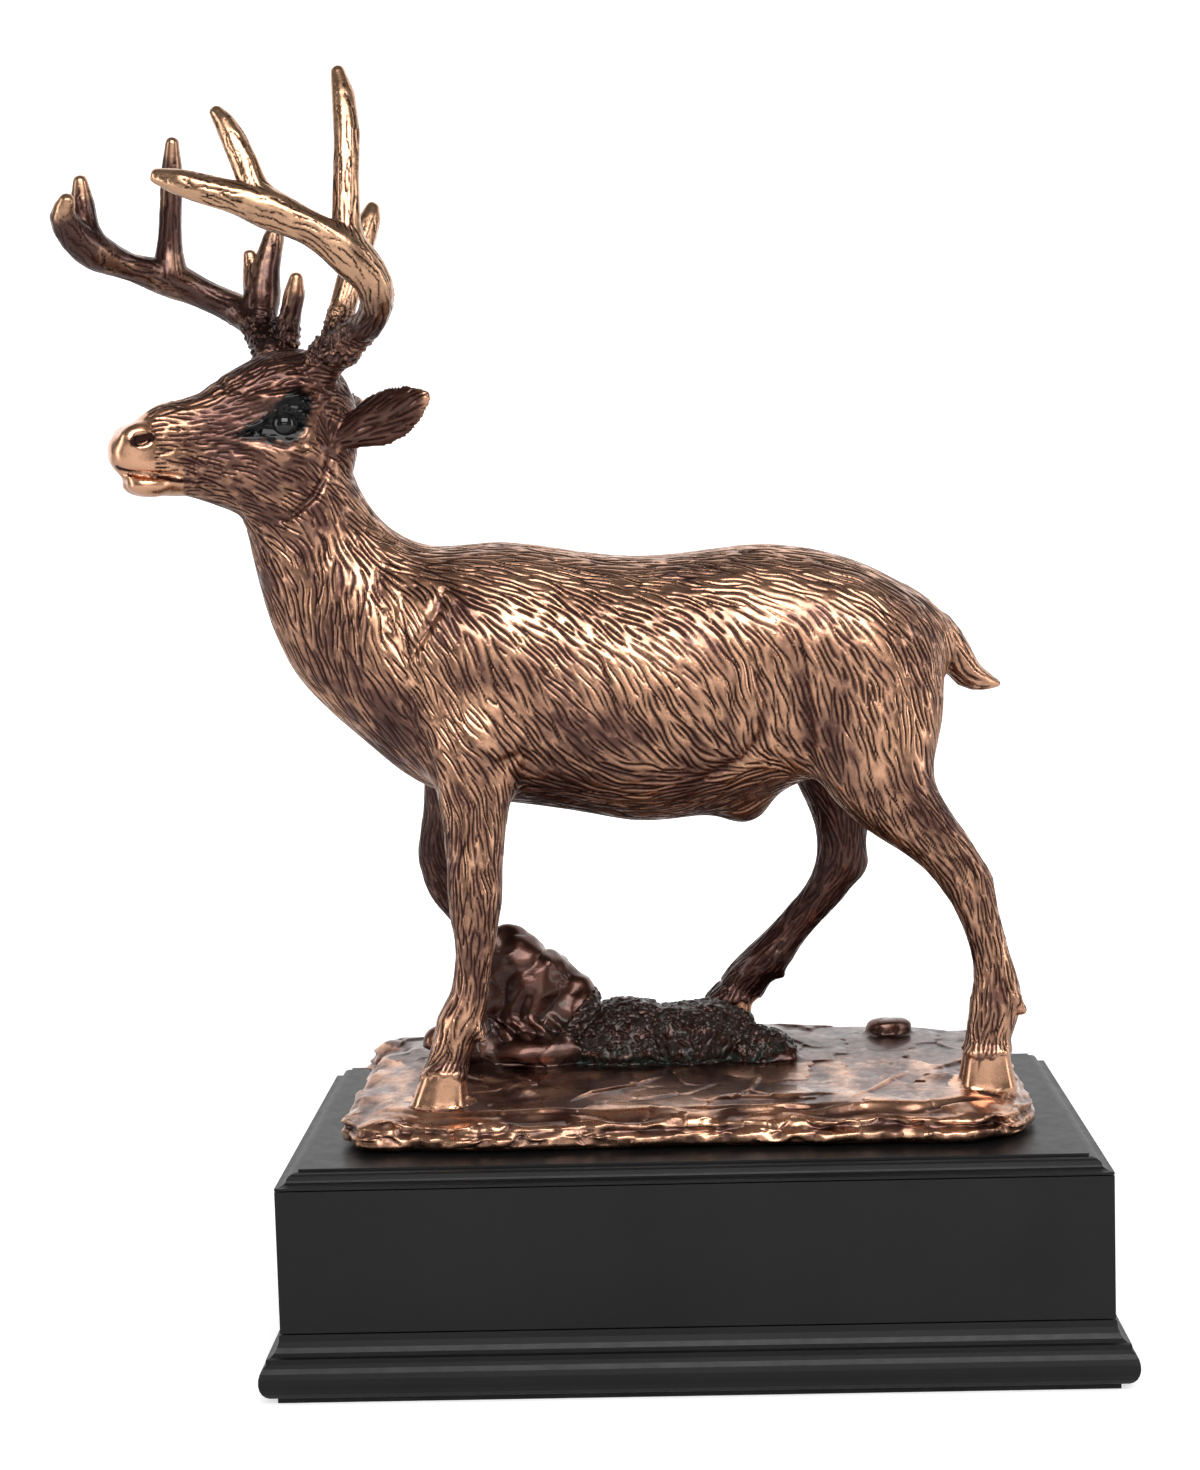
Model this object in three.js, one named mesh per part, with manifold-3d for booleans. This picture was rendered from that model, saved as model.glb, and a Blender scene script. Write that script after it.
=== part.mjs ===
// A whitetail buck on rocky ground, cast in one piece, standing on a moulded black plinth.
// Millimetres, +Z up. The origin is the centre of the plinth's underside and the buck faces -X.
import * as THREE from "three";
import { mergeVertices } from "three/addons/utils/BufferGeometryUtils.js";
import Module from "manifold-3d";

const wasm = await Module();
wasm.setup();

// Driving sizes
const CASTING_LENGTH = 175; // of the rocky ground, and it sets the size of the whole figure
const FIT_GAP = 0.3; // between pieces that touch
const LEDGE_X = 6.5; // flat top that shows past the ground at each end
const LEDGE_Y = 7.2; // and at the front and back
const OGEE_WIDTH = 5.8; // the top board's edge moulding
const OGEE_HEIGHT = 3.9;
const BLOCK_HEIGHT = 34.7;
const SKIRT_HEIGHT = 15;
const SKIRT_OVERHANG = 5; // past the block, all round
const FELT_THICKNESS = 1.2;
const FELT_INSET = 4; // from the skirt's widest line

// The figure is carved in its own units, FIGURE_UNITS of them to the ground's length
const FIGURE_UNITS = 175;
const UNIT = CASTING_LENGTH / FIGURE_UNITS;
const GROUND_HALF_WIDTH = 45; // figure units

// Levels, from the underside up
const SKIRT_Z = FELT_THICKNESS + FIT_GAP;
const BLOCK_Z = SKIRT_Z + SKIRT_HEIGHT + FIT_GAP;
const BOARD_Z = BLOCK_Z + BLOCK_HEIGHT + FIT_GAP;
const CASTING_Z = BOARD_Z + OGEE_HEIGHT + FIT_GAP;

// The plinth's plan follows the ground that stands on it
const BLOCK_LENGTH = CASTING_LENGTH + 2 * (LEDGE_X + OGEE_WIDTH);
const BLOCK_WIDTH = 2 * GROUND_HALF_WIDTH * UNIT + 2 * (LEDGE_Y + OGEE_WIDTH);
const SKIRT_LENGTH = BLOCK_LENGTH + 2 * SKIRT_OVERHANG;
const SKIRT_WIDTH = BLOCK_WIDTH + 2 * SKIRT_OVERHANG;

const v = (x, y, z) => new THREE.Vector3(x, y, z);
const ACROSS = v(0, 1, 0); // the figure's left-right direction
const TURN = 2 * Math.PI;

// Solids from rings

/** A closed body through rings of points, each ring with the same number of points. */
function skin(rings) {
  const count = rings[0].length;
  const points = rings.flat();
  const faces = [];
  for (let r = 0; r + 1 < rings.length; r++) {
    for (let k = 0; k < count; k++) {
      const a = r * count + k;
      const b = r * count + ((k + 1) % count);
      faces.push(a, b, a + count, b, b + count, a + count);
    }
  }
  const last = (rings.length - 1) * count;
  const caps = [points.length, points.length + 1];
  points.push(centroid(rings[0]), centroid(rings[rings.length - 1]));
  for (let k = 0; k < count; k++) {
    const next = (k + 1) % count;
    faces.push(caps[0], next, k, caps[1], last + k, last + next);
  }
  return outward(points, faces);
}

function centroid(ring) {
  return ring.reduce((sum, p) => sum.add(p), v(0, 0, 0)).divideScalar(ring.length);
}

/** Geometry with its faces turned out, whichever way round the rings ran. */
function outward(points, faces) {
  let volume = 0;
  for (let i = 0; i < faces.length; i += 3) {
    const [a, b, c] = [points[faces[i]], points[faces[i + 1]], points[faces[i + 2]]];
    volume += a.dot(b.clone().cross(c));
  }
  const geometry = new THREE.BufferGeometry().setFromPoints(points);
  geometry.setIndex(volume > 0 ? faces : faces.slice().reverse());
  return geometry;
}

/** One ring across a path: a superellipse, power 2 being a plain ellipse. */
function ring(centre, depth, width, sides, power = 2) {
  const bend = (value) => Math.sign(value) * Math.abs(value) ** (2 / power);
  return Array.from({ length: sides }, (_, k) => {
    const turn = (k * TURN) / sides;
    const out = depth.clone().multiplyScalar(bend(Math.cos(turn)));
    return out.addScaledVector(width, bend(Math.sin(turn))).add(centre);
  });
}

/**
 * A limb through stations [x, y, z, half depth, half width]. Width lies along the across
 * direction and depth square to it and to the path. The stations are joined by a smooth curve,
 * with the given number of steps from each to the next. A limb that turns every way carries
 * its across direction along with it.
 */
function limb(stations, { sides = 10, steps = 2, across = ACROSS, carry = false } = {}) {
  const path = new THREE.CatmullRomCurve3(stations.map(([x, y, z]) => v(x, y, z)), false, "centripetal");
  const sizes = new THREE.CatmullRomCurve3(stations.map(([, , , d, w]) => v(d, w, 0)), false, "centripetal");
  const count = steps * (stations.length - 1);
  const rings = [];
  let aside = across;
  for (let k = 0; k <= count; k++) {
    const size = sizes.getPoint(k / count);
    const along = path.getTangent(k / count);
    const depth = along.clone().cross(aside).normalize();
    const width = depth.clone().cross(along).normalize();
    aside = carry ? width.clone() : across;
    depth.multiplyScalar(Math.max(size.x, 0.3));
    width.multiplyScalar(Math.max(size.y, 0.3));
    rings.push(ring(path.getPoint(k / count), depth, width, sides));
  }
  return skin(rings);
}

/** A body through stations [back x, back z, belly x, belly z, middle y, half width]. */
function trunk(stations, sides, power) {
  return skin(
    stations.map(([backX, backZ, bellyX, bellyZ, y, halfWidth]) => {
      const top = v(backX, y, backZ);
      const centre = top.clone().add(v(bellyX, y, bellyZ)).multiplyScalar(0.5);
      return ring(centre, top.sub(centre), v(0, halfWidth, 0), sides, power);
    }),
  );
}

/** An ellipsoid for a muscle, an eye or a pebble. */
function lump(centre, radii) {
  return new THREE.IcosahedronGeometry(1, 1).scale(...radii).translate(...centre);
}

const ROUGHNESS = 0.1; // of a boulder, as a share of its radii

/** A boulder: an ellipsoid pushed in and out by waves that the seed shifts. */
function boulder(centre, radii, seed) {
  const shape = mergeVertices(plain(new THREE.IcosahedronGeometry(1, 1)));
  const place = shape.getAttribute("position");
  for (let i = 0; i < place.count; i++) {
    const p = v(0, 0, 0).fromBufferAttribute(place, i);
    const wave = Math.sin(3.1 * p.x + seed) * Math.sin(2.7 * p.y + 2 * seed) + Math.sin(3.7 * p.z + 3 * seed);
    p.multiplyScalar(1 + ROUGHNESS * wave);
    place.setXYZ(i, p.x, p.y, p.z);
  }
  return shape.scale(...radii).translate(...centre);
}

function plain(geometry) {
  geometry.deleteAttribute("normal");
  geometry.deleteAttribute("uv");
  return geometry;
}

// Joins

function toSolid(geometry) {
  const merged = mergeVertices(plain(geometry), 1e-4);
  const vertProperties = new Float32Array(merged.getAttribute("position").array);
  const triVerts = new Uint32Array(merged.index.array);
  return new wasm.Manifold(new wasm.Mesh({ numProp: 3, vertProperties, triVerts }));
}

function toGeometry(solid) {
  const { vertProperties, triVerts } = solid.getMesh();
  const geometry = new THREE.BufferGeometry();
  geometry.setAttribute("position", new THREE.BufferAttribute(vertProperties, 3));
  geometry.setIndex(new THREE.BufferAttribute(triVerts, 1));
  return geometry;
}

/** One geometry from several that overlap, less those in cuts. */
function join(pieces, cuts = []) {
  const whole = pieces.map(toSolid).reduce((sum, piece) => sum.add(piece));
  return toGeometry(cuts.map(toSolid).reduce((rest, cut) => rest.subtract(cut), whole));
}

// The ground, in figure units with its underside at z = 0

const FRONT_RIM = 8.8; // height of the slab's edge in front
const REAR_RISE = 3.2; // how much higher the back edge is
const GROUND_SHIFT = -0.9; // the ground lies a little towards the head
const EDGE_ROOM = { x: 1.1, y: 1.4 }; // keeps the ragged edge's waves inside the ground's size
const CORNER_POWER = 8; // how square the outline's corners are, 2 being an ellipse
const ROCK_KNOLL = { x: -22, y: 24, reach: [36, 17], height: 5 };
const HOOF_KNOLL = { x: 12, y: 28, reach: [15, 12], height: 5.6 };

const hill = ({ x, y, reach, height }, px, py) =>
  height * Math.exp(-(((px - x) / reach[0]) ** 2) - ((py - y) / reach[1]) ** 2);

/** Height of the ground's top at a place. */
function groundHeight(x, y) {
  const back = THREE.MathUtils.smoothstep(y, -GROUND_HALF_WIDTH, GROUND_HALF_WIDTH);
  const ripple = 0.35 * Math.sin(0.21 * x + 0.7) * Math.sin(0.19 * y);
  return FRONT_RIM + REAR_RISE * back + hill(ROCK_KNOLL, x, y) + hill(HOOF_KNOLL, x, y) + ripple;
}

/** The ragged outline: a rounded rectangle drawn in by inset, with waves along the edge. */
function groundEdge(turn, inset, height) {
  const round = (value) => Math.sign(value) * Math.abs(value) ** (2 / CORNER_POWER);
  const wave = 0.9 * Math.sin(5 * turn + 1) + 0.6 * Math.sin(11 * turn + 2) + 0.35 * Math.sin(17 * turn);
  const x = GROUND_SHIFT + (FIGURE_UNITS / 2 - EDGE_ROOM.x - inset + wave) * round(Math.cos(turn));
  const y = (GROUND_HALF_WIDTH - EDGE_ROOM.y - inset + wave) * round(Math.sin(turn));
  return v(x, y, height);
}

function ground() {
  const sides = 44;
  // The broken edge of the layers, as [inset, share of the rim's height]
  const layers = [[2.4, 0], [0.4, 0.16], [0, 0.38], [1.5, 0.5], [0.5, 0.64], [1, 0.86], [2.6, 0.97]];
  const topInset = layers[layers.length - 1][0];
  const rings = layers.map(([inset, share]) =>
    Array.from({ length: sides }, (_, k) => {
      const edge = groundEdge((k * TURN) / sides, inset, 0);
      edge.z = share * groundHeight(edge.x, edge.y);
      return edge;
    }),
  );
  // The top runs in towards the middle in rings of these shares of the outline
  for (const share of [0.88, 0.66, 0.42, 0.18]) {
    rings.push(
      Array.from({ length: sides }, (_, k) => {
        const place = groundEdge((k * TURN) / sides, topInset, 0).multiplyScalar(share);
        place.z = groundHeight(place.x, place.y);
        return place;
      }),
    );
  }
  return skin(rings);
}

/** The rock pile behind the near foreleg, the grass mound beside it and the pebbles. */
function rocks() {
  const pile = [
    [[-44, 13, 23], [8, 8, 20.5], 5.6],
    [[-37, 15, 20], [9.5, 10, 20.5], 2.3],
    [[-30.5, 13, 18], [8, 9, 19], 4.6],
    [[-46, 6, 14], [8, 6, 8], 5.2],
    [[-36, 5, 14], [10, 6, 6], 0.4],
    [[-37, 26, 11], [11, 9, 9], 4.4],
    [[-57, 14, 12], [6, 8, 8], 1.9],
  ];
  const mound = [
    [[-17, 12, 13.5], [17, 12, 15], 2.6],
    [[0, 12, 12.5], [17, 12, 14.4], 2.2],
    [[17, 9, 11], [13, 9, 7.5], 3.4],
  ];
  const pebbles = [
    [[54, 28, 13], [6.2, 4.4, 3.4], 2],
    [[25.5, 4, 12], [3.6, 3, 2.6], 1.2],
  ];
  return [...pile, ...mound, ...pebbles].map(([centre, radii, seed]) => boulder(centre, radii, seed));
}

// The buck, in figure units above the ground's underside

function body() {
  const stations = [
    [-83, 171, -109.5, 154, -5, 11.8],
    [-79.6, 162.5, -107.4, 141, -4, 13.4],
    [-75.4, 155.5, -103.8, 126, -2, 16],
    [-69.4, 150, -98, 113.5, -1, 19],
    [-62, 146.8, -89, 104, 0, 22],
    [-54, 147.6, -79.4, 95.5, 0, 24.2],
    [-46, 148.4, -70, 87, 0, 25.5],
    [-37, 147.6, -58, 81.5, 0, 26],
    [-28, 145.8, -45, 80.5, 0, 26.5],
    [-17, 143.9, -28, 77.9, 0, 28],
    [-6, 143.4, -11, 74.2, 0, 29.5],
    [5, 144.4, 4, 75.6, 0, 29],
    [16, 145.8, 14, 77.5, 0, 27.5],
    [27, 145.7, 24, 81, 0, 26],
    [38, 143.7, 36, 86, 0, 25],
    [48, 140, 48, 92, 0, 23.5],
    [57, 135, 58, 99, 0, 20],
    [64, 130, 65, 107, 0, 14.5],
    [69, 124.5, 69.5, 114, 0, 7],
  ];
  return trunk(stations, 22, 2.15);
}

function tail() {
  const stations = [
    [59, 0, 126, 5, 6],
    [65.4, 0, 122, 5.2, 6.4],
    [69.8, 0.5, 116.2, 4.8, 6],
    [73.6, 1, 110.8, 4, 5],
    [78, 1.5, 108.6, 2.6, 3.6],
    [81.8, 2, 107.8, 0.7, 1.2],
  ];
  return limb(stations, { sides: 10 });
}

const nearForeleg = [
  [-46, -6, 136, 9, 6],
  [-51, -11, 124, 15, 9.5],
  [-54.5, -15.5, 110, 16, 10.5],
  [-53, -18.5, 98, 13.4, 9.6],
  [-51.8, -20.5, 87, 10.6, 8.2],
  [-51.8, -22, 78, 9, 7.4],
  [-52, -23.5, 68.5, 7.7, 6.4],
  [-52.2, -24.8, 58.5, 7.1, 6.3],
  [-52.4, -25.6, 47, 5.9, 5],
  [-54.2, -26.4, 36, 5.3, 4.6],
  [-56.8, -27, 28.5, 6, 5.4],
  [-59.3, -27.6, 21.5, 5.2, 5],
  [-61, -28, 16, 5.6, 5.6],
];

const farForeleg = [
  [-47, 6, 136, 9, 6],
  [-53, 11, 124, 14.5, 9.5],
  [-57, 15.5, 110, 15.5, 10.5],
  [-58, 18, 97, 12.4, 9.4],
  [-59.4, 19.6, 86, 9.8, 8.2],
  [-62, 20.8, 75, 8, 7],
  [-65, 22, 64, 7.4, 6.4],
  [-63.6, 22.8, 55, 6.6, 5.8],
  [-56.8, 23.8, 45, 5.1, 4.8],
  [-50, 24.8, 36, 4.9, 4.5],
  [-45.2, 25.5, 29.5, 5.5, 5.2],
  [-42.4, 26, 24, 4.8, 4.8],
];

const nearHindLeg = [
  [46, -5, 128, 12, 7],
  [48, -9.5, 118, 18, 11],
  [47.6, -13.2, 106, 20, 12.4],
  [48, -15.4, 95, 18.6, 11.6],
  [51.6, -17, 83.5, 13.4, 9.8],
  [57.8, -18.4, 76, 9.8, 8],
  [64.5, -19, 69, 8.2, 6.6],
  [69.4, -19.4, 61.6, 7.4, 6],
  [72.4, -19.8, 54, 6.3, 5.4],
  [75.2, -20.2, 45, 5.9, 5],
  [77, -20.6, 36.5, 6, 5],
  [76.8, -20.8, 29.5, 6.6, 5.6],
  [75, -21, 22, 5.8, 5.4],
  [74.3, -21.4, 17.6, 6, 5.8],
];

const farHindLeg = [
  [46, 5, 128, 12, 7],
  [46, 9.5, 118, 18, 11],
  [44, 13.4, 106, 20, 12.4],
  [41, 16, 95, 17.8, 11.4],
  [40.2, 18, 84, 12, 9.6],
  [41.4, 19.4, 75, 8.8, 7.8],
  [42, 20.4, 66.5, 7.6, 6.6],
  [41.2, 21.4, 59.6, 7.2, 6.2],
  [37.2, 22.4, 51.6, 6.3, 5.4],
  [29.6, 23.6, 43.6, 5.8, 5],
  [22.8, 24.3, 36, 6, 5.3],
  [17.4, 25, 29.6, 6.1, 5.3],
  [12.8, 25.6, 24.6, 5.4, 5.2],
];

/** Two toes that part in front, from the coronet down to a flat sole. */
function hoof(coronet, sole, heading) {
  const forward = v(Math.cos(heading), Math.sin(heading), 0);
  const aside = v(-Math.sin(heading), Math.cos(heading), 0);
  // [share of the way down, half depth, half width, sideways]
  const levels = [[-0.25, 4.2, 2.8, 2.3], [0, 5.4, 3.3, 2.5], [1, 7.2, 3.4, 3.2]];
  return [-1, 1].map((side) =>
    skin(
      levels.map(([share, depth, width, shift]) => {
        const centre = v(...coronet).lerp(v(...sole), share).addScaledVector(aside, side * shift);
        const long = forward.clone().multiplyScalar(depth);
        return ring(centre, long, aside.clone().multiplyScalar(width), 8, 2.4);
      }),
    ),
  );
}

/** The pair of small claws behind a fetlock. */
function dewclaws([x, y, z], [backX, backZ]) {
  return [-1, 1].map((side) => {
    const root = [x, y + 2.6 * side, z + 1.5, 2.4, 2];
    const tip = [x + backX, y + 3 * side, z + backZ, 1.3, 1.2];
    return limb([root, tip], { sides: 5, steps: 1 });
  });
}

function legs() {
  const limbs = [
    ...[nearForeleg, farForeleg].map((stations) => limb(stations, { steps: 1 })),
    ...[nearHindLeg, farHindLeg].map((stations) => limb(stations)),
  ];
  const facing = Math.PI; // the toes point to -X
  const hooves = [
    hoof([-60.8, -28, 17.5], [-62.6, -28.4, groundHeight(-62, -28) - 0.6], facing),
    hoof([-41.8, 26, 25], [-40, 26, 16.5], facing + 0.25),
    hoof([74.3, -21.4, 18.5], [74.4, -21.4, groundHeight(74, -21) - 0.6], facing),
    hoof([12, 25.7, 25.4], [10, 26, groundHeight(10, 26) - 0.6], facing),
  ];
  const claws = [
    dewclaws([-53.6, -26.8, 28], [3, -3.4]),
    dewclaws([-41.8, 25.4, 31], [3, -2.4]),
    dewclaws([80.6, -20.8, 31], [3.2, -3.6]),
    dewclaws([23.2, 25, 30.6], [3.2, -3]),
  ];
  // The points of the elbows and the sheath stand out a little
  const muscles = [
    lump([-45.5, -19, 94.5], [6.2, 6, 8]),
    lump([-47.5, 18.5, 96], [6.2, 6, 8]),
    lump([15, 0, 80], [8, 5, 6]),
  ];
  return [...limbs, ...hooves.flat(), ...claws.flat(), ...muscles];
}

// The head, in a frame of its own: x runs forward to the nose, y to the buck's left, which is
// the side that faces -Y, and z up. It is turned to that side.

const HEAD_AT = v(-92, -4, 0);
const HEAD_TURN = THREE.MathUtils.degToRad(25);

function fromHead(geometry) {
  const forward = v(-Math.cos(HEAD_TURN), -Math.sin(HEAD_TURN), 0);
  const left = v(Math.sin(HEAD_TURN), -Math.cos(HEAD_TURN), 0);
  const frame = new THREE.Matrix4().makeBasis(forward, left, v(0, 0, 1)).setPosition(HEAD_AT);
  return geometry.applyMatrix4(frame);
}

function skull() {
  // [forward, top, bottom, half width]
  const profile = [
    [-11.5, 186, 168, 6],
    [-9, 190.5, 162, 9.4],
    [-4.5, 194.6, 157, 11.8],
    [1, 196.6, 154.6, 12.8],
    [7, 196.2, 153.8, 12.9],
    [12, 195, 154.2, 12.2],
    [17, 192.4, 155.4, 10.8],
    [22, 189, 157.4, 9.2],
    [27, 186, 159.4, 8.2],
    [32, 184.2, 161.2, 7.6],
    [38, 182.4, 161.8, 7.2],
    [43, 180.9, 162.8, 7],
    [46.8, 179.6, 165, 6.4],
    [49.2, 177.2, 168, 5],
    [50.4, 175, 170.6, 2.6],
  ];
  const stations = profile.map(([x, top, bottom, width]) => [x, top, x, bottom, 0, width]);
  return trunk(stations, 18, 2.25);
}

/** Eye, nose pad and lower lip on one side of the head. */
function features(side) {
  return [
    lump([9.2, 10.2 * side, 178.4], [3.6, 3.4, 3.4]),
    lump([44.4, 4 * side, 175.2], [5.2, 3.6, 5]),
    lump([41.5, 2.4 * side, 164.6], [6.2, 4.4, 3]),
  ];
}

/** A leaf of an ear, hollow in front, from its root to its tip. */
function ear(side) {
  const root = v(-5, 9.5 * side, 174.8);
  const tip = v(-23.7, 26 * side, 184.6);
  const axis = tip.clone().sub(root).normalize();
  const up = v(0, 0, 1).addScaledVector(axis, -axis.z).normalize();
  const front = axis.clone().cross(up).multiplyScalar(-side);
  // [share of the length, half width, hollow depth, thickness]
  const leaf = [[0, 3.2, 0.8, 3.4], [0.2, 5.2, 2.4, 2.8], [0.42, 6.9, 3, 2.2], [0.62, 6.7, 2.6, 1.9],
    [0.8, 5, 1.6, 1.7], [0.93, 2.7, 0.6, 1.5], [1, 0.9, 0.1, 1.1]];
  const spread = [-1, -0.7, -0.3, 0.3, 0.7, 1];
  const rings = leaf.map(([share, half, hollow, thick]) => {
    const at = root.clone().lerp(tip, share);
    const point = (u, forward) => at.clone().addScaledVector(up, u * half).addScaledVector(front, forward);
    const back = spread.map((u) => point(u, hollow * u * u - thick * (1 - 0.5 * u * u)));
    const inner = spread.slice(1, -1).reverse().map((u) => point(u, hollow * u * u));
    return [...back, ...inner];
  });
  return skin(rings);
}

// Each branch of an antler is [forward, to its own side, up, radius] along its middle

const NEAR_ANTLER = [
  [[-1, 7, 190, 4.6], [-3.6, 10.6, 195.4, 5], [-6.4, 16, 198.4, 4.4], [-8.6, 24, 201.6, 4.1],
    [-9, 31, 206, 4.1], [-7.6, 34, 210.8, 4.2], [-3.8, 35, 215.4, 4.3], [1.2, 35, 219.8, 4.4],
    [8, 34, 223.9, 4], [14.8, 32, 227.4, 3.8], [22.4, 30, 230.6, 3.7], [30, 27, 233, 3.2],
    [36.4, 24, 235.2, 2.4], [41.6, 21, 237, 0.9]],
  [[-2, 34.4, 217, 3.6], [-1, 34, 224, 3.3], [-1.8, 33, 235.4, 3.1], [-3.1, 31, 246.7, 2.9],
    [-3.5, 28, 256.1, 2.1], [-2.9, 26, 262.3, 0.8]],
  [[17, 31, 228.6, 3.4], [20, 29.6, 233, 3.1], [21.6, 28.6, 239, 2.9], [23.6, 26.4, 245.4, 2.4],
    [25.2, 24.6, 249.4, 1.7], [26.8, 23, 252.2, 0.8]],
  [[-4, 11, 198, 3.2], [-7, 9.8, 206, 3.1], [-10.4, 8, 214.6, 3.2], [-13.6, 6.8, 223.6, 3],
    [-16.6, 6, 229.6, 1.9], [-17.4, 5.8, 232.4, 0.8]],
];

const FAR_ANTLER = [
  [[1.5, 7, 190, 4.6], [4.6, 11.4, 196.4, 4.8], [6.8, 18, 203.6, 3.9], [11, 24, 208.6, 3.6],
    [17.7, 28, 212.8, 3.4], [26.2, 30, 217, 3.5], [36.7, 29, 220, 3.3], [45.2, 27, 223.2, 3.4],
    [51.6, 24, 227.2, 3.5], [55, 20.4, 231.6, 2.6], [54.4, 16.6, 235.6, 1]],
  [[46.4, 26.4, 223.4, 3], [48.6, 26, 229, 2.8], [48.9, 25.8, 235, 2.4], [49.3, 25, 241.4, 0.9]],
  [[26.4, 30, 217.4, 3.4], [26.2, 29.6, 224, 2.9], [25.6, 28.8, 234, 2.6], [25, 28, 243.6, 2.1],
    [24.8, 27, 251.8, 0.8]],
  [[6.6, 17.4, 204, 3.4], [5.4, 18.6, 210.6, 3.2], [3.8, 19, 219, 2.8], [1.4, 19, 226.6, 2],
    [0.2, 19, 230.6, 0.8]],
  [[5.4, 18.6, 211, 2.6], [6.4, 21, 217, 1.9], [7.1, 22, 223, 0.8]],
  [[2.6, 9.6, 197, 2.9], [1.4, 7.6, 205, 2.4], [0.2, 6.4, 211.6, 1.9], [-0.4, 6, 216, 0.8]],
];

function antler(branches, side) {
  return branches.map((branch, index) => {
    const stations = branch.map(([x, y, z, radius]) => [x, y * side, z, radius, radius]);
    return limb(stations, { sides: 8, steps: index === 0 ? 2 : 1, across: v(1, 0, 0.1), carry: true });
  });
}

/** The cut between the lips and the two nostrils. */
function mouthCuts() {
  const slit = [-1, 1].map((side) =>
    limb([[52, 3 * side, 168.2, 0.55, 5], [44, 6 * side, 166.8, 0.6, 3.4], [35, 8.6 * side, 165, 0.3, 2.4]],
      { sides: 6 }),
  );
  const nostrils = [-1, 1].map((side) => lump([44.4, 7.4 * side, 175.9], [2.1, 1.6, 1.1]));
  return [...slit, ...nostrils];
}

function casting() {
  const head = [skull(), ...[1, -1].flatMap(features), ear(1), ear(-1)];
  const burrs = [lump([-4.4, 11.4, 195.6], [5.6, 5.8, 4.6]), lump([4.6, -11.2, 196.4], [5.4, 5.6, 4.6])];
  const rack = [...antler(NEAR_ANTLER, 1), ...antler(FAR_ANTLER, -1), ...burrs];
  const placedHead = [...head, ...rack].map(fromHead);
  const pieces = [ground(), ...rocks(), body(), tail(), ...legs(), ...placedHead];
  const below = new THREE.BoxGeometry(FIGURE_UNITS, FIGURE_UNITS, 40).translate(0, 0, -20);
  return join(pieces, [...mouthCuts().map(fromHead), below]).scale(UNIT, UNIT, UNIT);
}

// The plinth

/** A board with mitred corners, through a profile of [inset from its length and width, z]. */
function moulding(length, width, profile) {
  const corners = [[1, 1], [-1, 1], [-1, -1], [1, -1]];
  return skin(
    profile.map(([inset, z]) =>
      corners.map(([sx, sy]) => v(sx * (length / 2 - inset), sy * (width / 2 - inset), z)),
    ),
  );
}

/** Points of a quarter circle or any arc, from one angle to another. */
function arc(centreInset, centreZ, radiusInset, radiusZ, from, to, steps) {
  return Array.from({ length: steps + 1 }, (_, k) => {
    const angle = THREE.MathUtils.degToRad(from + ((to - from) * k) / steps);
    return [centreInset - radiusInset * Math.cos(angle), centreZ + radiusZ * Math.sin(angle)];
  });
}

/** The top board: a flare at its foot, a round above it and a small quirk at the flat. */
function topBoard() {
  const fillet = 0.6; // upright at the foot and at the quirk
  const flareWidth = 0.48 * (OGEE_WIDTH - fillet);
  const roundWidth = OGEE_WIDTH - fillet - flareWidth;
  const flareHeight = 0.42 * (OGEE_HEIGHT - 2 * fillet);
  const roundHeight = OGEE_HEIGHT - 2 * fillet - flareHeight;
  const flare = arc(0, fillet + flareHeight, -flareWidth, -flareHeight, 90, 0, 4);
  const round = arc(OGEE_WIDTH - fillet, fillet + flareHeight, roundWidth, roundHeight, 0, 90, 5);
  return [[0, 0], ...flare, ...round.slice(1), [OGEE_WIDTH - fillet, OGEE_HEIGHT]];
}

/** The skirt: a bullnose with a cove above it that runs up to the block. */
function skirtProfile() {
  const fillet = 1.2; // upright step at the foot of the cove
  const nose = 0.62 * SKIRT_HEIGHT;
  const noseDepth = 3.4;
  const bull = arc(noseDepth, nose / 2, noseDepth, nose / 2, -90, 62, 9);
  const [coveInset, coveZ] = bull[bull.length - 1];
  const coveWidth = SKIRT_OVERHANG - coveInset - 0.2;
  const coveHeight = SKIRT_HEIGHT - coveZ - fillet;
  const cove = arc(coveInset, SKIRT_HEIGHT, -coveWidth, -coveHeight, 90, 0, 5);
  return [...bull, ...cove];
}

// Assembly

const copper = { color: 0x8a4a2c, metalness: 0.85, roughness: 0.32 };
const blackPaint = { color: 0x0c0c0d, metalness: 0, roughness: 0.38 };
const blackFelt = { color: 0x161616, metalness: 0, roughness: 0.95 };

const statue = new THREE.Group();

function add(name, geometry, finish, z) {
  const mesh = new THREE.Mesh(geometry, new THREE.MeshStandardMaterial(finish));
  mesh.name = name;
  mesh.position.z = z;
  statue.add(mesh);
}

const feltLength = SKIRT_LENGTH - 2 * FELT_INSET;
const feltWidth = SKIRT_WIDTH - 2 * FELT_INSET;
const blockProfile = [[0, 0], [0, BLOCK_HEIGHT]];
const boardProfile = topBoard();

add("felt_pad", moulding(feltLength, feltWidth, [[0, 0], [0, FELT_THICKNESS]]), blackFelt, 0);
add("plinth_skirt", moulding(SKIRT_LENGTH, SKIRT_WIDTH, skirtProfile()), blackPaint, SKIRT_Z);
add("plinth_block", moulding(BLOCK_LENGTH, BLOCK_WIDTH, blockProfile), blackPaint, BLOCK_Z);
add("plinth_top", moulding(BLOCK_LENGTH, BLOCK_WIDTH, boardProfile), blackPaint, BOARD_Z);
add("deer_on_rocky_ground", casting(), copper, CASTING_Z);

export default statue;
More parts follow.
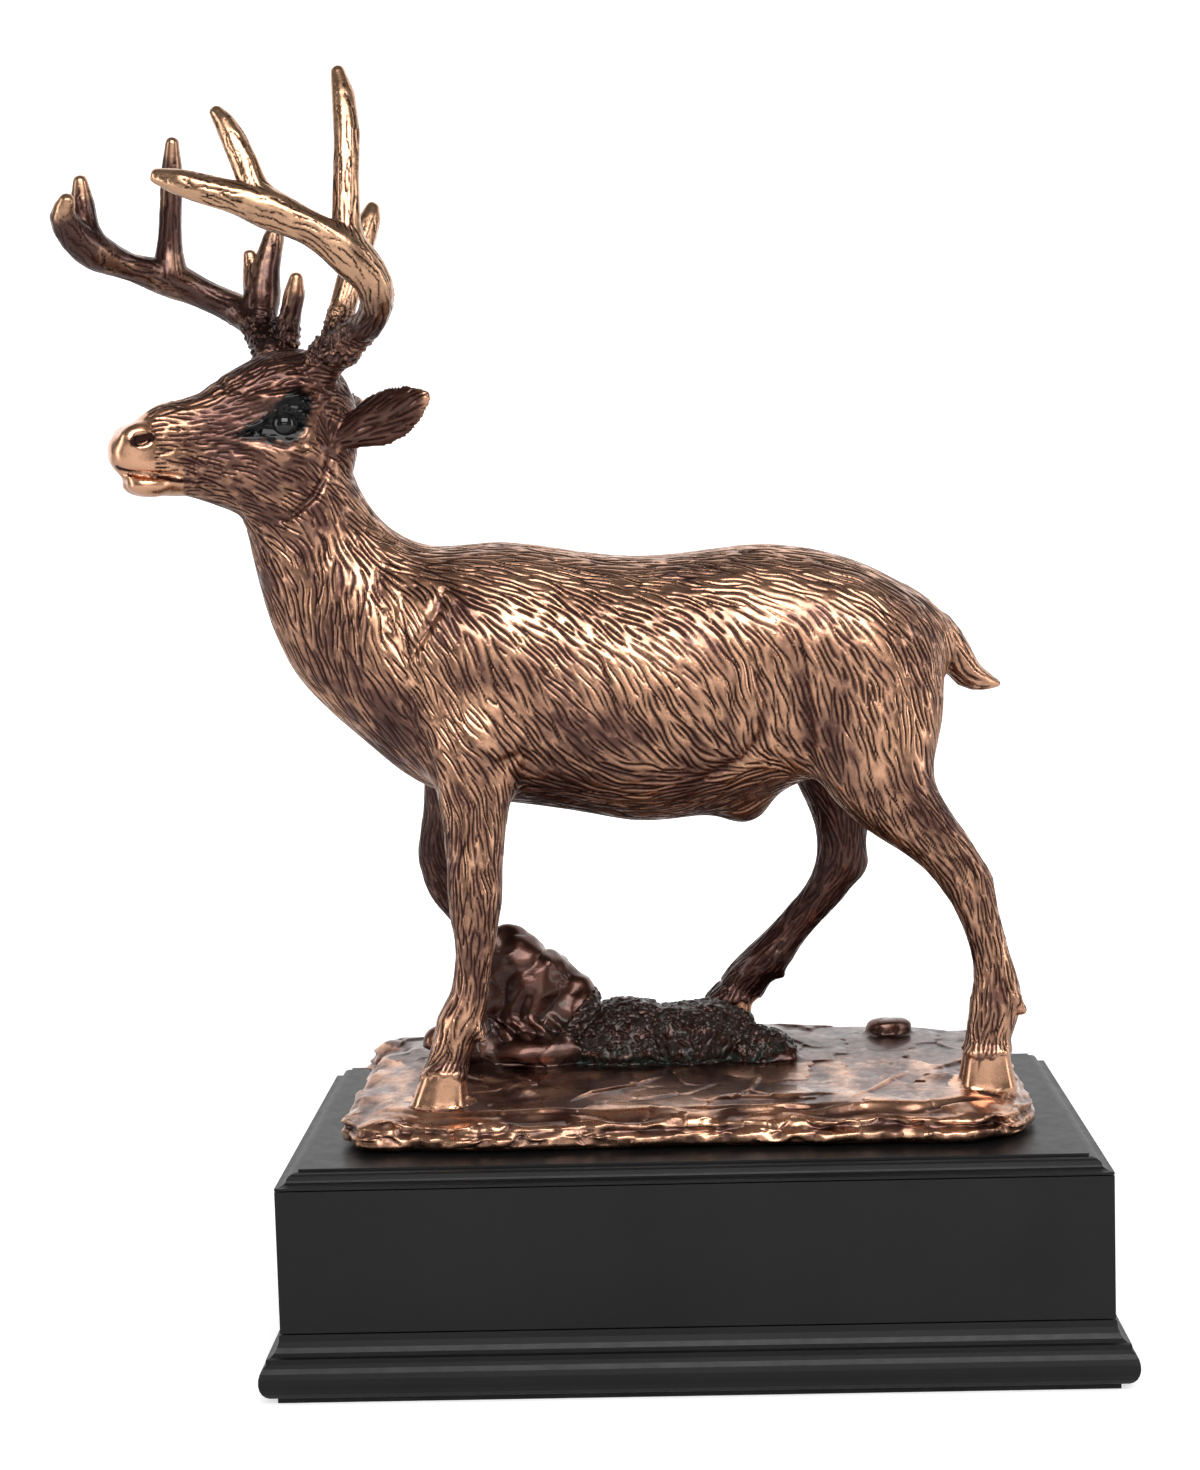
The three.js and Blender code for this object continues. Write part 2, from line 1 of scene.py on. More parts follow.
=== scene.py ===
"""A whitetail buck on rocky ground, cast and plated, standing on a moulded black plinth.

The casting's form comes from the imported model. It is made smooth, then the anatomy, the fur,
the antlers' furrows, the grass and the slate are carved into it. Sculpting is done in
millimetres above the casting's underside, with the buck facing -X.
"""

import logging
import math
import random
from collections import deque
from collections.abc import Iterable, Sequence
from dataclasses import dataclass, field
from enum import IntEnum

import bmesh
import bpy
import numpy as np
from mathutils import Matrix, Vector, kdtree
from mathutils.bvhtree import BVHTree


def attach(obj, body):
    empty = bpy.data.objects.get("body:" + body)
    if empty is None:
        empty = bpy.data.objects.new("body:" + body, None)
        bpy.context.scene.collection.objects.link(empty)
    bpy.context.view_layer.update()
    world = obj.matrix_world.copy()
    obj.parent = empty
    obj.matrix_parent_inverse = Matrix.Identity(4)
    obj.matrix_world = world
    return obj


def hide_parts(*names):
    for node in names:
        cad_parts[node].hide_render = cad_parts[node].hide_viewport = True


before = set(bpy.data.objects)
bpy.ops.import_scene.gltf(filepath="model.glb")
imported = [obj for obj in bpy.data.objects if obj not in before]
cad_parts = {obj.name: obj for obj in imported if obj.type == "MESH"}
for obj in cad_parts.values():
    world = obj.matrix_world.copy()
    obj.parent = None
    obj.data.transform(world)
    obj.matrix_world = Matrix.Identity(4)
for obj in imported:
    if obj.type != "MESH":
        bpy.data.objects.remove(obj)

Point = tuple[float, float, float]

MM = 0.001
CASTING_Z = 56.0  # height of the casting's underside above the plinth's
HEAD_AT = (-92.0, -4.0)  # where the head's own frame stands
HEAD_TURN = math.radians(25)  # towards the near side

log = logging.getLogger("deer_statue")


class Zone(IntEnum):
    """What a place on the casting belongs to."""

    BARREL = 0
    NECK = 1
    LEG = 2
    HEAD = 3
    MUZZLE = 4
    EAR = 5
    ANTLER = 6
    HOOF = 7
    GROUND = 8
    ROCK = 9
    GRASS = 10


def smoothstep(value: np.ndarray, low: float, high: float) -> np.ndarray:
    """0 below low, 1 above high and smooth between."""
    share = np.clip((value - low) / (high - low), 0.0, 1.0)
    return share * share * (3.0 - 2.0 * share)


def to_head(points: np.ndarray) -> np.ndarray:
    """Turns places into the head's frame: forward to the nose, to the buck's left, and up."""
    moved = points[:, :2] - np.array(HEAD_AT)
    c, s = math.cos(HEAD_TURN), math.sin(HEAD_TURN)
    return np.stack([-moved[:, 0] * c - moved[:, 1] * s, moved[:, 0] * s - moved[:, 1] * c, points[:, 2]], 1)


def from_head(points: Iterable[Point]) -> list[Point]:
    """Turns places in the head's frame into places on the casting."""
    c, s = math.cos(HEAD_TURN), math.sin(HEAD_TURN)
    return [(HEAD_AT[0] - x * c + y * s, HEAD_AT[1] - x * s - y * c, z) for x, y, z in points]


def waves(points: np.ndarray, size: float, seed: int, count: int = 9) -> np.ndarray:
    """A soft irregular field of about -1 to 1.

    Args:
        points: The places.
        size: The length of a wave, in millimetres.
        seed: Picks one field.
        count: How many plane waves are summed.

    Returns:
        One value for each place.
    """
    rng = np.random.default_rng(seed)
    total = np.zeros(len(points))
    for _ in range(count):
        heading = rng.normal(size=3)
        heading *= rng.uniform(0.7, 1.5) * 2 * math.pi / size / np.linalg.norm(heading)
        total += np.sin(points @ heading + rng.uniform(0, 2 * math.pi))
    return total / math.sqrt(count / 2) * 0.7


def path_gap(points: np.ndarray, path: Sequence[tuple[float, float, float, float]]) -> np.ndarray:
    """Distance of each place outside a limb drawn as a path of x, y, z and radius.

    Args:
        points: The places.
        path: The path's stops.

    Returns:
        One distance for each place, below 0 inside the limb.
    """
    best = np.full(len(points), 1e9)
    for start, end in zip(path, path[1:]):
        a, b = np.array(start), np.array(end)
        along = b[:3] - a[:3]
        share = np.clip((points - a[:3]) @ along / (along @ along), 0, 1)
        away = np.linalg.norm(points - a[:3] - share[:, None] * along, axis=1)
        best = np.minimum(best, away - a[3] - share * (b[3] - a[3]))
    return best


def nearest_gap(points: np.ndarray, marks: Sequence[Sequence[float]]) -> np.ndarray:
    """Distance of each place to the nearest of a few marks."""
    return np.min([np.linalg.norm(points - mark, axis=1) for mark in marks], axis=0)


@dataclass(frozen=True)
class Anatomy:
    """The lines of the legs, tail and head that tell one place of the casting from another."""

    # a limb is a path of x, y, z and radius
    near_fore: tuple = ((-55, -16, 110, 16), (-52, -20, 87, 10), (-52, -24, 60, 7.5), (-54, -26.4, 36, 5.6),
                        (-59, -27.6, 21.5, 5.8), (-61.5, -28.2, 14, 7), (-62.6, -28.4, 9, 8.5))
    far_fore: tuple = ((-57, 16, 110, 16), (-60, 20, 84, 10), (-65, 22, 64, 7.5), (-57, 24, 45, 5.5),
                       (-47, 25.3, 32, 5.8), (-42.4, 26, 24, 6), (-40, 26, 17, 8.5))
    near_hind: tuple = ((48, -15, 95, 18), (58, -18.4, 76, 10), (69.4, -19.4, 61.6, 7.6),
                        (75, -20.2, 45, 6.2), (76.8, -20.8, 29.5, 6.8), (74.5, -21.2, 18, 7),
                        (74.4, -21.4, 9, 8.5))
    far_hind: tuple = ((41, 16, 95, 18), (41.4, 19.4, 75, 9), (41, 21.4, 60, 7.4), (30, 23.6, 44, 6.2),
                       (18, 25, 30, 6.4), (11.5, 25.8, 21, 7), (10, 26, 16, 8.5))
    dewclaws: tuple = ((-50, -26.8, 24.6), (-38, 25.4, 28.6), (84.4, -20.8, 27.4), (25.4, 23.4, 28.4))
    # x and y of the middle of each hoof, and z of its top
    hooves: tuple = ((-62.6, -28.4, 16.5), (74.4, -21.4, 17.5), (-40.5, 26, 23.5), (10.8, 26, 22.5))
    tail: tuple = ((59, 0, 126, 6), (65.4, 0, 122, 6), (73.6, 1, 110.8, 5), (81.8, 2, 107.8, 1.5))
    slab_top: float = 9.2
    rocks_top: float = 50.0
    legs_top: float = 84.0
    jaw: float = 153.0
    burrs_foot: float = 193.0

    @property
    def legs(self) -> tuple:
        """The four legs' paths."""
        return self.near_fore, self.far_fore, self.near_hind, self.far_hind

    def zones(self, points: np.ndarray) -> np.ndarray:
        """Says which zone each place belongs to.

        Args:
            points: Places on the casting's surface.

        Returns:
            An array of Zone values.
        """
        x, y, z = points.T
        head = to_head(points)
        zone = np.full(len(points), int(Zone.BARREL))
        zone[(x < -60 - 0.12 * (150 - z)) & (z > self.legs_top)] = Zone.NECK
        leg_gap = np.min([path_gap(points, leg) for leg in self.legs], axis=0)
        zone[(leg_gap < 3) & (z < self.legs_top)] = Zone.LEG
        clear = (leg_gap > np.where(z > 30, 3.0, 1.2)) & (nearest_gap(points, self.dewclaws) > 5.5)
        ground = (z < self.rocks_top) & (clear | (z < self.slab_top))
        zone[ground] = Zone.GROUND
        rocks = (x > -62) & (x < np.minimum(-22, -40 + 0.9 * (z - 12))) & (y > -3) & (z > 12.5)
        zone[ground & rocks] = Zone.ROCK
        mound = ((x + 1) / 37) ** 2 + ((y - 12) / 16) ** 2 < 1
        zone[ground & mound & (z > np.where(x > 22, 13.2, 11)) & (zone != Zone.ROCK)] = Zone.GRASS
        for hoof_x, hoof_y, top in self.hooves:
            near = np.hypot(x - hoof_x, y - hoof_y) < 12
            zone[near & ~ground & (z < top + 1.1 * waves(points, 5, 70))] = Zone.HOOF
        skull = (head[:, 0] > -12) & (z > self.jaw + 0.9 * np.maximum(0, -head[:, 0] - 2))
        zone[skull] = Zone.HEAD
        zone[(head[:, 0] > 41.5) & (z > 166.9) & (z < 183)] = Zone.MUZZLE
        zone[skull & (head[:, 0] > 34) & (z < 167.6)] = Zone.MUZZLE
        for side in (1, -1):
            ear = path_gap(head, ((-7, 12.0 * side, 176, 5.5), (-23.7, 26 * side, 184.6, 5)))
            zone[(ear < 3.2) & (head[:, 1] * side > 12) & (z < self.burrs_foot)] = Zone.EAR
            burr = np.linalg.norm(head - np.array([-4.4 if side > 0 else 4.6, 11.3 * side, 196.2]), axis=1)
            zone[(burr < 6.6) & (z > self.burrs_foot)] = Zone.ANTLER
        zone[z > 198.5] = Zone.ANTLER
        return zone


class Surface:
    """A closed mesh of quads held as arrays, in millimetres above the casting's underside."""

    def __init__(self, mesh: bpy.types.Mesh) -> None:
        """Reads a mesh of quads that is in metres.

        Args:
            mesh: The mesh.
        """
        flat = np.empty(len(mesh.vertices) * 3, np.float32)
        mesh.vertices.foreach_get("co", flat)
        self.points = flat.reshape(-1, 3).astype(np.float64) / MM - (0, 0, CASTING_Z)
        corners = np.empty(len(mesh.loops), np.int32)
        mesh.loops.foreach_get("vertex_index", corners)
        self.quads = corners.reshape(-1, 4)
        starts = self.quads.ravel()
        ends = np.roll(self.quads, -1, axis=1).ravel()
        order = np.argsort(starts, kind="stable")
        self._neighbours = ends[order]
        self._counts = np.bincount(starts, minlength=len(self.points))
        self._first = np.concatenate([[0], np.cumsum(self._counts)[:-1]])

    def smooth(self, rounds: int, share: np.ndarray | float = 1.0, keep_volume: bool = True) -> None:
        """Evens the surface out.

        Args:
            rounds: How many passes.
            share: How far each point takes part, from 0 to 1.
            keep_volume: Adds a counter pass, so that thin limbs don't shrink.
        """
        steps = (0.5, -0.52) if keep_volume else (0.5,)
        weight = share[:, None] if isinstance(share, np.ndarray) else share
        for _ in range(rounds):
            for step in steps:
                mean = np.add.reduceat(self.points[self._neighbours], self._first) / self._counts[:, None]
                self.points += step * weight * (mean - self.points)

    def normals(self) -> np.ndarray:
        """Unit normals at the points.

        Returns:
            One row for each point.
        """
        a, b, c, d = (self.points[self.quads[:, k]] for k in range(4))
        across = np.cross(c - a, d - b)
        total = np.zeros_like(self.points)
        for axis in range(3):
            total[:, axis] = np.bincount(self.quads.ravel(), np.repeat(across[:, axis], 4), len(self.points))
        return total / np.maximum(np.linalg.norm(total, axis=1, keepdims=True), 1e-9)

    def tree(self) -> BVHTree:
        """A search tree of the faces, in millimetres."""
        return BVHTree.FromPolygons(self.points.tolist(), self.quads.tolist())

    def to_mesh(self, name: str) -> bpy.types.Mesh:
        """A mesh of the surface in metres.

        Args:
            name: The mesh's name.

        Returns:
            The new mesh.
        """
        mesh = bpy.data.meshes.new(name)
        mesh.vertices.add(len(self.points))
        mesh.vertices.foreach_set("co", ((self.points + (0, 0, CASTING_Z)) * MM).astype(np.float32).ravel())
        mesh.loops.add(self.quads.size)
        mesh.loops.foreach_set("vertex_index", self.quads.ravel())
        mesh.polygons.add(len(self.quads))
        mesh.polygons.foreach_set("loop_start", np.arange(0, self.quads.size, 4, dtype=np.int32))
        mesh.update(calc_edges=True)
        return mesh


def with_modifier(mesh: bpy.types.Mesh, kind: str, **settings: object) -> bpy.types.Mesh:
    """Puts a mesh through one modifier.

    Args:
        mesh: The mesh, which is used up.
        kind: The modifier's type.
        settings: Its settings.

    Returns:
        The new mesh.
    """
    obj = bpy.data.objects.new("workpiece", mesh)
    bpy.context.scene.collection.objects.link(obj)
    modifier = obj.modifiers.new("step", kind)
    for name, value in settings.items():
        setattr(modifier, name, value)
    shaped = obj.evaluated_get(bpy.context.evaluated_depsgraph_get())
    made = bpy.data.meshes.new_from_object(shaped)
    bpy.data.objects.remove(obj)
    bpy.data.meshes.remove(mesh)
    return made


@dataclass(frozen=True)
class Swell:
    """A soft raised form, such as a muscle, or a hollow where the height is negative."""

    centre: Point
    reach: Point
    height: float
    on_head: bool = False
    mirrored: bool = False

    def apply(self, points: np.ndarray, head: np.ndarray, normals: np.ndarray) -> None:
        """Moves the points along their normals.

        Args:
            points: The surface's points, which are moved.
            head: The same points in the head's frame.
            normals: Their normals.
        """
        for side in (1, -1) if self.mirrored else (1,):
            frame_points = head if self.on_head else points
            centre = np.array(self.centre) * (1, side, 1)
            far = (((frame_points - centre) / self.reach) ** 2).sum(1)
            near = far < 7
            points[near] += normals[near] * (self.height * np.exp(-far[near]))[:, None]


@dataclass(frozen=True)
class Crease:
    """A line cut into the surface, or raised where the depth is negative."""

    path: tuple
    depth: float
    width: float
    on_head: bool = False
    mirrored: bool = False
    laid: bool = False  # the path may lie off the surface, which it is laid on along the normals

    def apply(self, points: np.ndarray, head: np.ndarray, normals: np.ndarray) -> None:
        """Moves the points along their normals, tapering towards the line's ends.

        Args:
            points: The surface's points, which are moved.
            head: The same points in the head's frame.
            normals: Their normals.
        """
        for side in (1, -1) if self.mirrored else (1,):
            frame_points = head if self.on_head else points
            line = np.array(self.path, float) * (1, side, 1)
            reach = 6.0 if self.laid else 3 * self.width
            low, high = line.min(0) - reach, line.max(0) + reach
            near = np.flatnonzero(((frame_points > low) & (frame_points < high)).all(1))
            best = np.full(len(near), 1e9)
            fade = np.zeros(len(near))
            for k, (a, b) in enumerate(zip(line, line[1:])):
                along = b - a
                share = np.clip((frame_points[near] - a) @ along / (along @ along), 0, 1)
                gap = frame_points[near] - a - share[:, None] * along
                if self.laid:
                    gap -= (gap * normals[near]).sum(1, keepdims=True) * normals[near]
                away = np.linalg.norm(gap, axis=1)
                place = (k + share) / (len(line) - 1)
                closer = away < best
                best[closer] = away[closer]
                fade[closer] = np.clip(6 * place * (1 - place), 0, 1)[closer]
            cut = self.depth * fade * np.exp(-((best / self.width) ** 2))
            points[near] -= normals[near] * cut[:, None]


@dataclass(frozen=True)
class StrokeStyle:
    """How the chisel marks of one zone look, in millimetres."""

    spacing: float
    length: tuple[float, float]
    depth: float
    width: float
    wander: float


STROKES: dict[Zone, StrokeStyle] = {
    Zone.BARREL: StrokeStyle(1.4, (12, 28), 0.46, 0.29, 0.35),
    Zone.NECK: StrokeStyle(1.35, (12, 28), 0.5, 0.3, 0.5),
    Zone.LEG: StrokeStyle(1.0, (10, 24), 0.34, 0.25, 0.3),
    Zone.HEAD: StrokeStyle(1.15, (5, 12), 0.36, 0.27, 0.35),
    Zone.EAR: StrokeStyle(1.3, (6, 14), 0.3, 0.3, 0.15),
    Zone.ANTLER: StrokeStyle(1.25, (14, 40), 0.15, 0.22, 0.12),
    Zone.GRASS: StrokeStyle(1.15, (3, 7), 0.75, 0.42, 1.6),
}


@dataclass
class Coat:
    """The direction that the fur lies in and the strokes carved along it."""

    anatomy: Anatomy
    seed: int = 7
    step: float = 0.5
    cell: float = 2.0
    lines: tuple = (
        ((-62, -5, 147), (-39, -5, 147), (-9, -5, 143), (21, -5, 144), (44, -5, 138), (61, -5, 125),
         (67, -5, 113)),
        ((-56, -24, 142), (-39, -24, 137), (-24, -24, 128), (-15, -24, 116), (-9, -24, 103), (0, -24, 92)),
        ((-29, -25, 141), (-9, -25, 135), (5, -25, 126), (15, -25, 115), (18, -25, 103)),
        ((1, -22, 139), (20, -22, 134), (32, -22, 127), (38, -22, 114), (38, -22, 99), (42, -22, 87)),
        ((30, -18, 139), (48, -18, 131), (56, -18, 118), (58, -18, 106), (56, -18, 91)),
        ((-63, -22, 134), (-56, -22, 124), (-49, -22, 109), (-44, -22, 97)),
        ((-85, -15, 124), (-78, -15, 109), (-71, -15, 96), (-63, -15, 86)),
        ((-106, -8, 150), (-102, -8, 130), (-91, -8, 112), (-76, -8, 97)),
        ((-84, -16, 158), (-81, -16, 142), (-86, -16, 125), (-81, -16, 109)),
        ((-78, -8, 157), (-73, -8, 148), (-65, -8, 139), (-57, -8, 133)),
        ((-38, -15, 83), (-16, -15, 79), (4, -15, 82), (20, -15, 87)),
        ((-37, -24, 109), (-30, -24, 94), (-15, -24, 85), (2, -24, 86)),
        ((27, -20, 109), (31, -20, 92), (39, -20, 82)),
    )
    head_lines: tuple = (
        ((42, 0, 181), (30, 0, 185), (18, 0, 191), (6, 0, 196), (-4, 0, 196), (-9, 0, 190)),
        ((40, 7, 176), (28, 8.5, 179), (16, 10, 182), (6, 12, 184), (-3, 11, 184)),
        ((40, 7, 169), (28, 9, 168), (14, 11.5, 164), (4, 12.5, 158)),
        ((36, 5, 163), (22, 7, 158), (10, 9, 154)),
        ((12, 12, 172), (2, 13, 168), (-5, 11, 160), (-8, 9, 152)),
    )

    def __post_init__(self) -> None:
        """Turns the guide lines into places with a heading."""
        runs = [self._both(line, False) for line in self.lines]
        runs += [self._both(line, True) for line in self.head_lines]
        runs += [[tuple(stop[:3] for stop in leg)] for leg in (*self.anatomy.legs, self.anatomy.tail)]
        places, headings = [], []
        for line in (one for run in runs for one in run):
            for a, b in zip(line, line[1:]):
                along = np.array(b, float) - a
                length = np.linalg.norm(along)
                for share in np.arange(0, 1, 4 / length):
                    places.append(np.array(a) + share * along)
                    headings.append(along / length)
        self.places, self.headings = np.array(places), np.array(headings)

    def _both(self, line: Sequence[Point], on_head: bool) -> list[list[Point]]:
        """A guide line and its mirror image on the far side."""
        sides = [[(x, side * y, z) for x, y, z in line] for side in (1, -1)]
        return [from_head(side) for side in sides] if on_head else sides

    def flow(self, points: np.ndarray, zones: np.ndarray, antlers: "Antlers") -> np.ndarray:
        """The heading of the strokes at each place, which still has to be laid on the surface.

        Args:
            points: The places.
            zones: Their zones.
            antlers: The antlers, whose furrows run along them.

        Returns:
            A heading and a sway for each place.
        """
        found = np.zeros_like(points)
        for start in range(0, len(points), 20000):
            part = slice(start, start + 20000)
            away = ((points[part, None, :] - self.places[None]) ** 2).sum(2)
            found[part] = (1 / (away + 10) ** 2) @ self.headings
        found /= np.maximum(np.linalg.norm(found, axis=1, keepdims=True), 1e-9)
        head = to_head(points)
        for side in (1, -1):
            ear = (zones == Zone.EAR) & (head[:, 1] * side > 0)
            fan = head[ear] - np.array([-1.0, 7.0 * side, 172.0])
            c, s = math.cos(HEAD_TURN), math.sin(HEAD_TURN)
            across, out = fan[:, 0], fan[:, 1]
            found[ear] = np.stack([-across * c + out * s, -across * s - out * c, fan[:, 2]], 1)
        horn = zones == Zone.ANTLER
        found[horn] = antlers.headings(points[horn])
        sway = 0.42 * waves(points, 26, 3) + 0.22 * waves(points, 8, 4)
        sway[horn] *= 0.2
        grass = zones == Zone.GRASS
        found[grass] = (0.6, 0.15, 0.8)
        sway[grass] = 2.2 * waves(points[grass], 9, 5)
        return np.concatenate([found, sway[:, None]], 1)

    def carve(self, base: Surface, zones: np.ndarray, flow: np.ndarray) -> tuple[np.ndarray, ...]:
        """Lays strokes evenly over the surface, none crossing another.

        Args:
            base: The smooth surface that the strokes follow.
            zones: The zone of each of its points.
            flow: The heading and sway at each of its points.

        Returns:
            The places along the strokes, and the heading, normal, and depth, width, taper and tone there.
        """
        rng = random.Random(self.seed)
        tree = base.tree()
        grid: dict[tuple[int, int, int], list[tuple[float, float, float, int]]] = {}
        corner = base.quads[:, 0]
        face_zone = zones[corner]
        headings = [Vector(row[:3]) for row in flow[corner]]
        sways = flow[corner, 3].tolist()
        middles = base.points[base.quads].mean(1).tolist()
        order = list(range(len(base.quads)))
        rng.shuffle(order)

        def crowded(place: Vector, reach: float, own: int) -> bool:
            """Whether another stroke passes within reach.

            Args:
                place: The place asked about.
                reach: How near is too near.
                own: The stroke that doesn't count, as it is the one being drawn.

            Returns:
                True if it is crowded.
            """
            kx, ky, kz = (int(math.floor(c / self.cell)) for c in place)
            limit = reach * reach
            px, py, pz = place
            for ix in (kx - 1, kx, kx + 1):
                for iy in (ky - 1, ky, ky + 1):
                    for iz in (kz - 1, kz, kz + 1):
                        for qx, qy, qz, stroke in grid.get((ix, iy, iz), ()):
                            if stroke != own and (qx - px) ** 2 + (qy - py) ** 2 + (qz - pz) ** 2 < limit:
                                return True
            return False

        places: list[list[float]] = []
        ways: list[list[float]] = []
        ups: list[list[float]] = []
        shapes: list[tuple[float, float, float, float]] = []
        beside: deque[tuple[Vector, int]] = deque()
        number = 0
        for first in order:
            beside.append((Vector(middles[first]), first))
            while beside:
                seed_place, face = beside.popleft()
                style = STROKES.get(Zone(int(face_zone[face])))
                if style is None:
                    continue
                spacing = style.spacing * rng.uniform(0.85, 1.2)
                if crowded(seed_place, 0.92 * spacing, -1):
                    continue
                number += 1
                half = 0.5 * rng.uniform(*style.length)
                twist, beat = rng.uniform(-0.12, 0.12), rng.uniform(0, 6)
                run: list[tuple[Vector, Vector, Vector]] = []
                for sign in (-1, 1):
                    place, at = seed_place.copy(), face
                    last: Vector | None = None
                    for step in range(int(half / self.step)):
                        found, normal, index, _ = tree.find_nearest(place)
                        if index is None:
                            break
                        pair = face_zone[index], face_zone[at]
                        if pair[0] != pair[1] and max(pair) > Zone.HEAD:
                            break
                        at = index
                        way = headings[at] - normal * headings[at].dot(normal)
                        if way.length < 1e-6:
                            break
                        turn = style.wander * sways[at] + twist + 0.16 * math.sin(beat + sign * 0.3 * step)
                        way = Matrix.Rotation(turn, 3, normal) @ way.normalized()
                        if last is not None and way.dot(last) < 0.2:
                            break
                        last = way
                        if crowded(found, 0.44 * spacing, number):
                            break
                        run.insert(len(run) if sign > 0 else 0, (found, way, normal))
                        place = found + way * (sign * self.step)
                if len(run) * self.step < 0.28 * style.length[0]:
                    continue
                strength = rng.uniform(0.65, 1.15)
                tone = rng.uniform(-1, 1)
                for k, (place, way, normal) in enumerate(run):
                    share = (k + 0.5) / len(run)
                    taper = min(1.0, 5 * share) * min(1.0, 4 * (1 - share)) * strength
                    places.append(list(place))
                    ways.append(list(way))
                    ups.append(list(normal))
                    shapes.append((style.depth * taper, style.width * (0.75 + 0.35 * taper), taper, tone))
                    key = tuple(int(math.floor(c / self.cell)) for c in place)
                    grid.setdefault(key, []).append((*place, number))
                    if k % 5 == 2:
                        aside = normal.cross(way).normalized() * spacing
                        for offset in (aside, -aside):
                            found, _, index, _ = tree.find_nearest(place + offset)
                            if index is not None:
                                beside.append((found, index))
        log.info("carved %d stroke places", len(places))
        return np.array(places), np.array(ways), np.array(ups), np.array(shapes)


class Strokes:
    """The finished strokes, ready to be cut into any surface near the one they were laid on."""

    def __init__(self, places: np.ndarray, ways: np.ndarray, ups: np.ndarray, shapes: np.ndarray) -> None:
        """Doubles the places, so that a stroke is one line and not a row of dots.

        Args:
            places: The places along the strokes.
            ways: The stroke's heading at each.
            ups: The surface's normal at each.
            shapes: The depth, width, taper and tone at each.
        """
        between = places + 0.25 * ways
        self.places = np.concatenate([places, between])
        self.ways = np.concatenate([ways, ways])
        self.ups = np.concatenate([ups, ups])
        self.shapes = np.concatenate([shapes, shapes])
        self.tree = kdtree.KDTree(len(self.places))
        for index, place in enumerate(self.places.tolist()):
            self.tree.insert(place, index)
        self.tree.balance()

    def cut(self, points: np.ndarray, chosen: np.ndarray) -> tuple[np.ndarray, np.ndarray, np.ndarray]:
        """How deep the strokes go at each point.

        Args:
            points: The surface's points.
            chosen: Which of them are carved.

        Returns:
            The depth in millimetres, the share from land (0) to groove (1), and the nearest stroke's tone.
        """
        find = self.tree.find
        index = np.array([find(p)[1] for p in points[chosen].tolist()], dtype=np.int64)
        gap = points[chosen] - self.places[index]
        gap -= (gap * self.ups[index]).sum(1, keepdims=True) * self.ups[index]
        way = self.ways[index]
        along = (gap * way).sum(1, keepdims=True)
        side = np.linalg.norm(gap - along * way, axis=1)
        beyond = np.maximum(np.abs(along[:, 0]) - 0.3, 0)
        depth, width, taper, stroke_tone = self.shapes[index].T
        profile = np.exp(-((side / width) ** 2) - (beyond / 0.4) ** 2)
        deep, share, tone = np.zeros((3, len(points)))
        profile *= calm(points[chosen])
        deep[chosen] = depth * profile
        tone[chosen] = stroke_tone
        share[chosen] = np.clip(1.3 * taper, 0, 1) * profile
        return deep, share, tone


def calm(points: np.ndarray) -> np.ndarray:
    """How strongly the fur is carved: less on the rump, on the crest of the ribs and round the eyes.

    Args:
        points: The places.

    Returns:
        A share of the full depth for each place.
    """
    rump = (((points - (30, 0, 131)) / (13, 40, 6.5)) ** 2).sum(1)
    ribs = (((points - (-4, 0, 121)) / (11, 60, 5)) ** 2).sum(1)
    share = 1 - 0.75 * np.exp(-rump) - 0.35 * np.exp(-ribs)
    for eye in from_head([(10.5, 11.5, 179.5), (10.5, -11.5, 179.5)]):
        share *= 1 - 0.85 * np.exp(-(((points - eye) ** 2).sum(1) / 40))
    return share


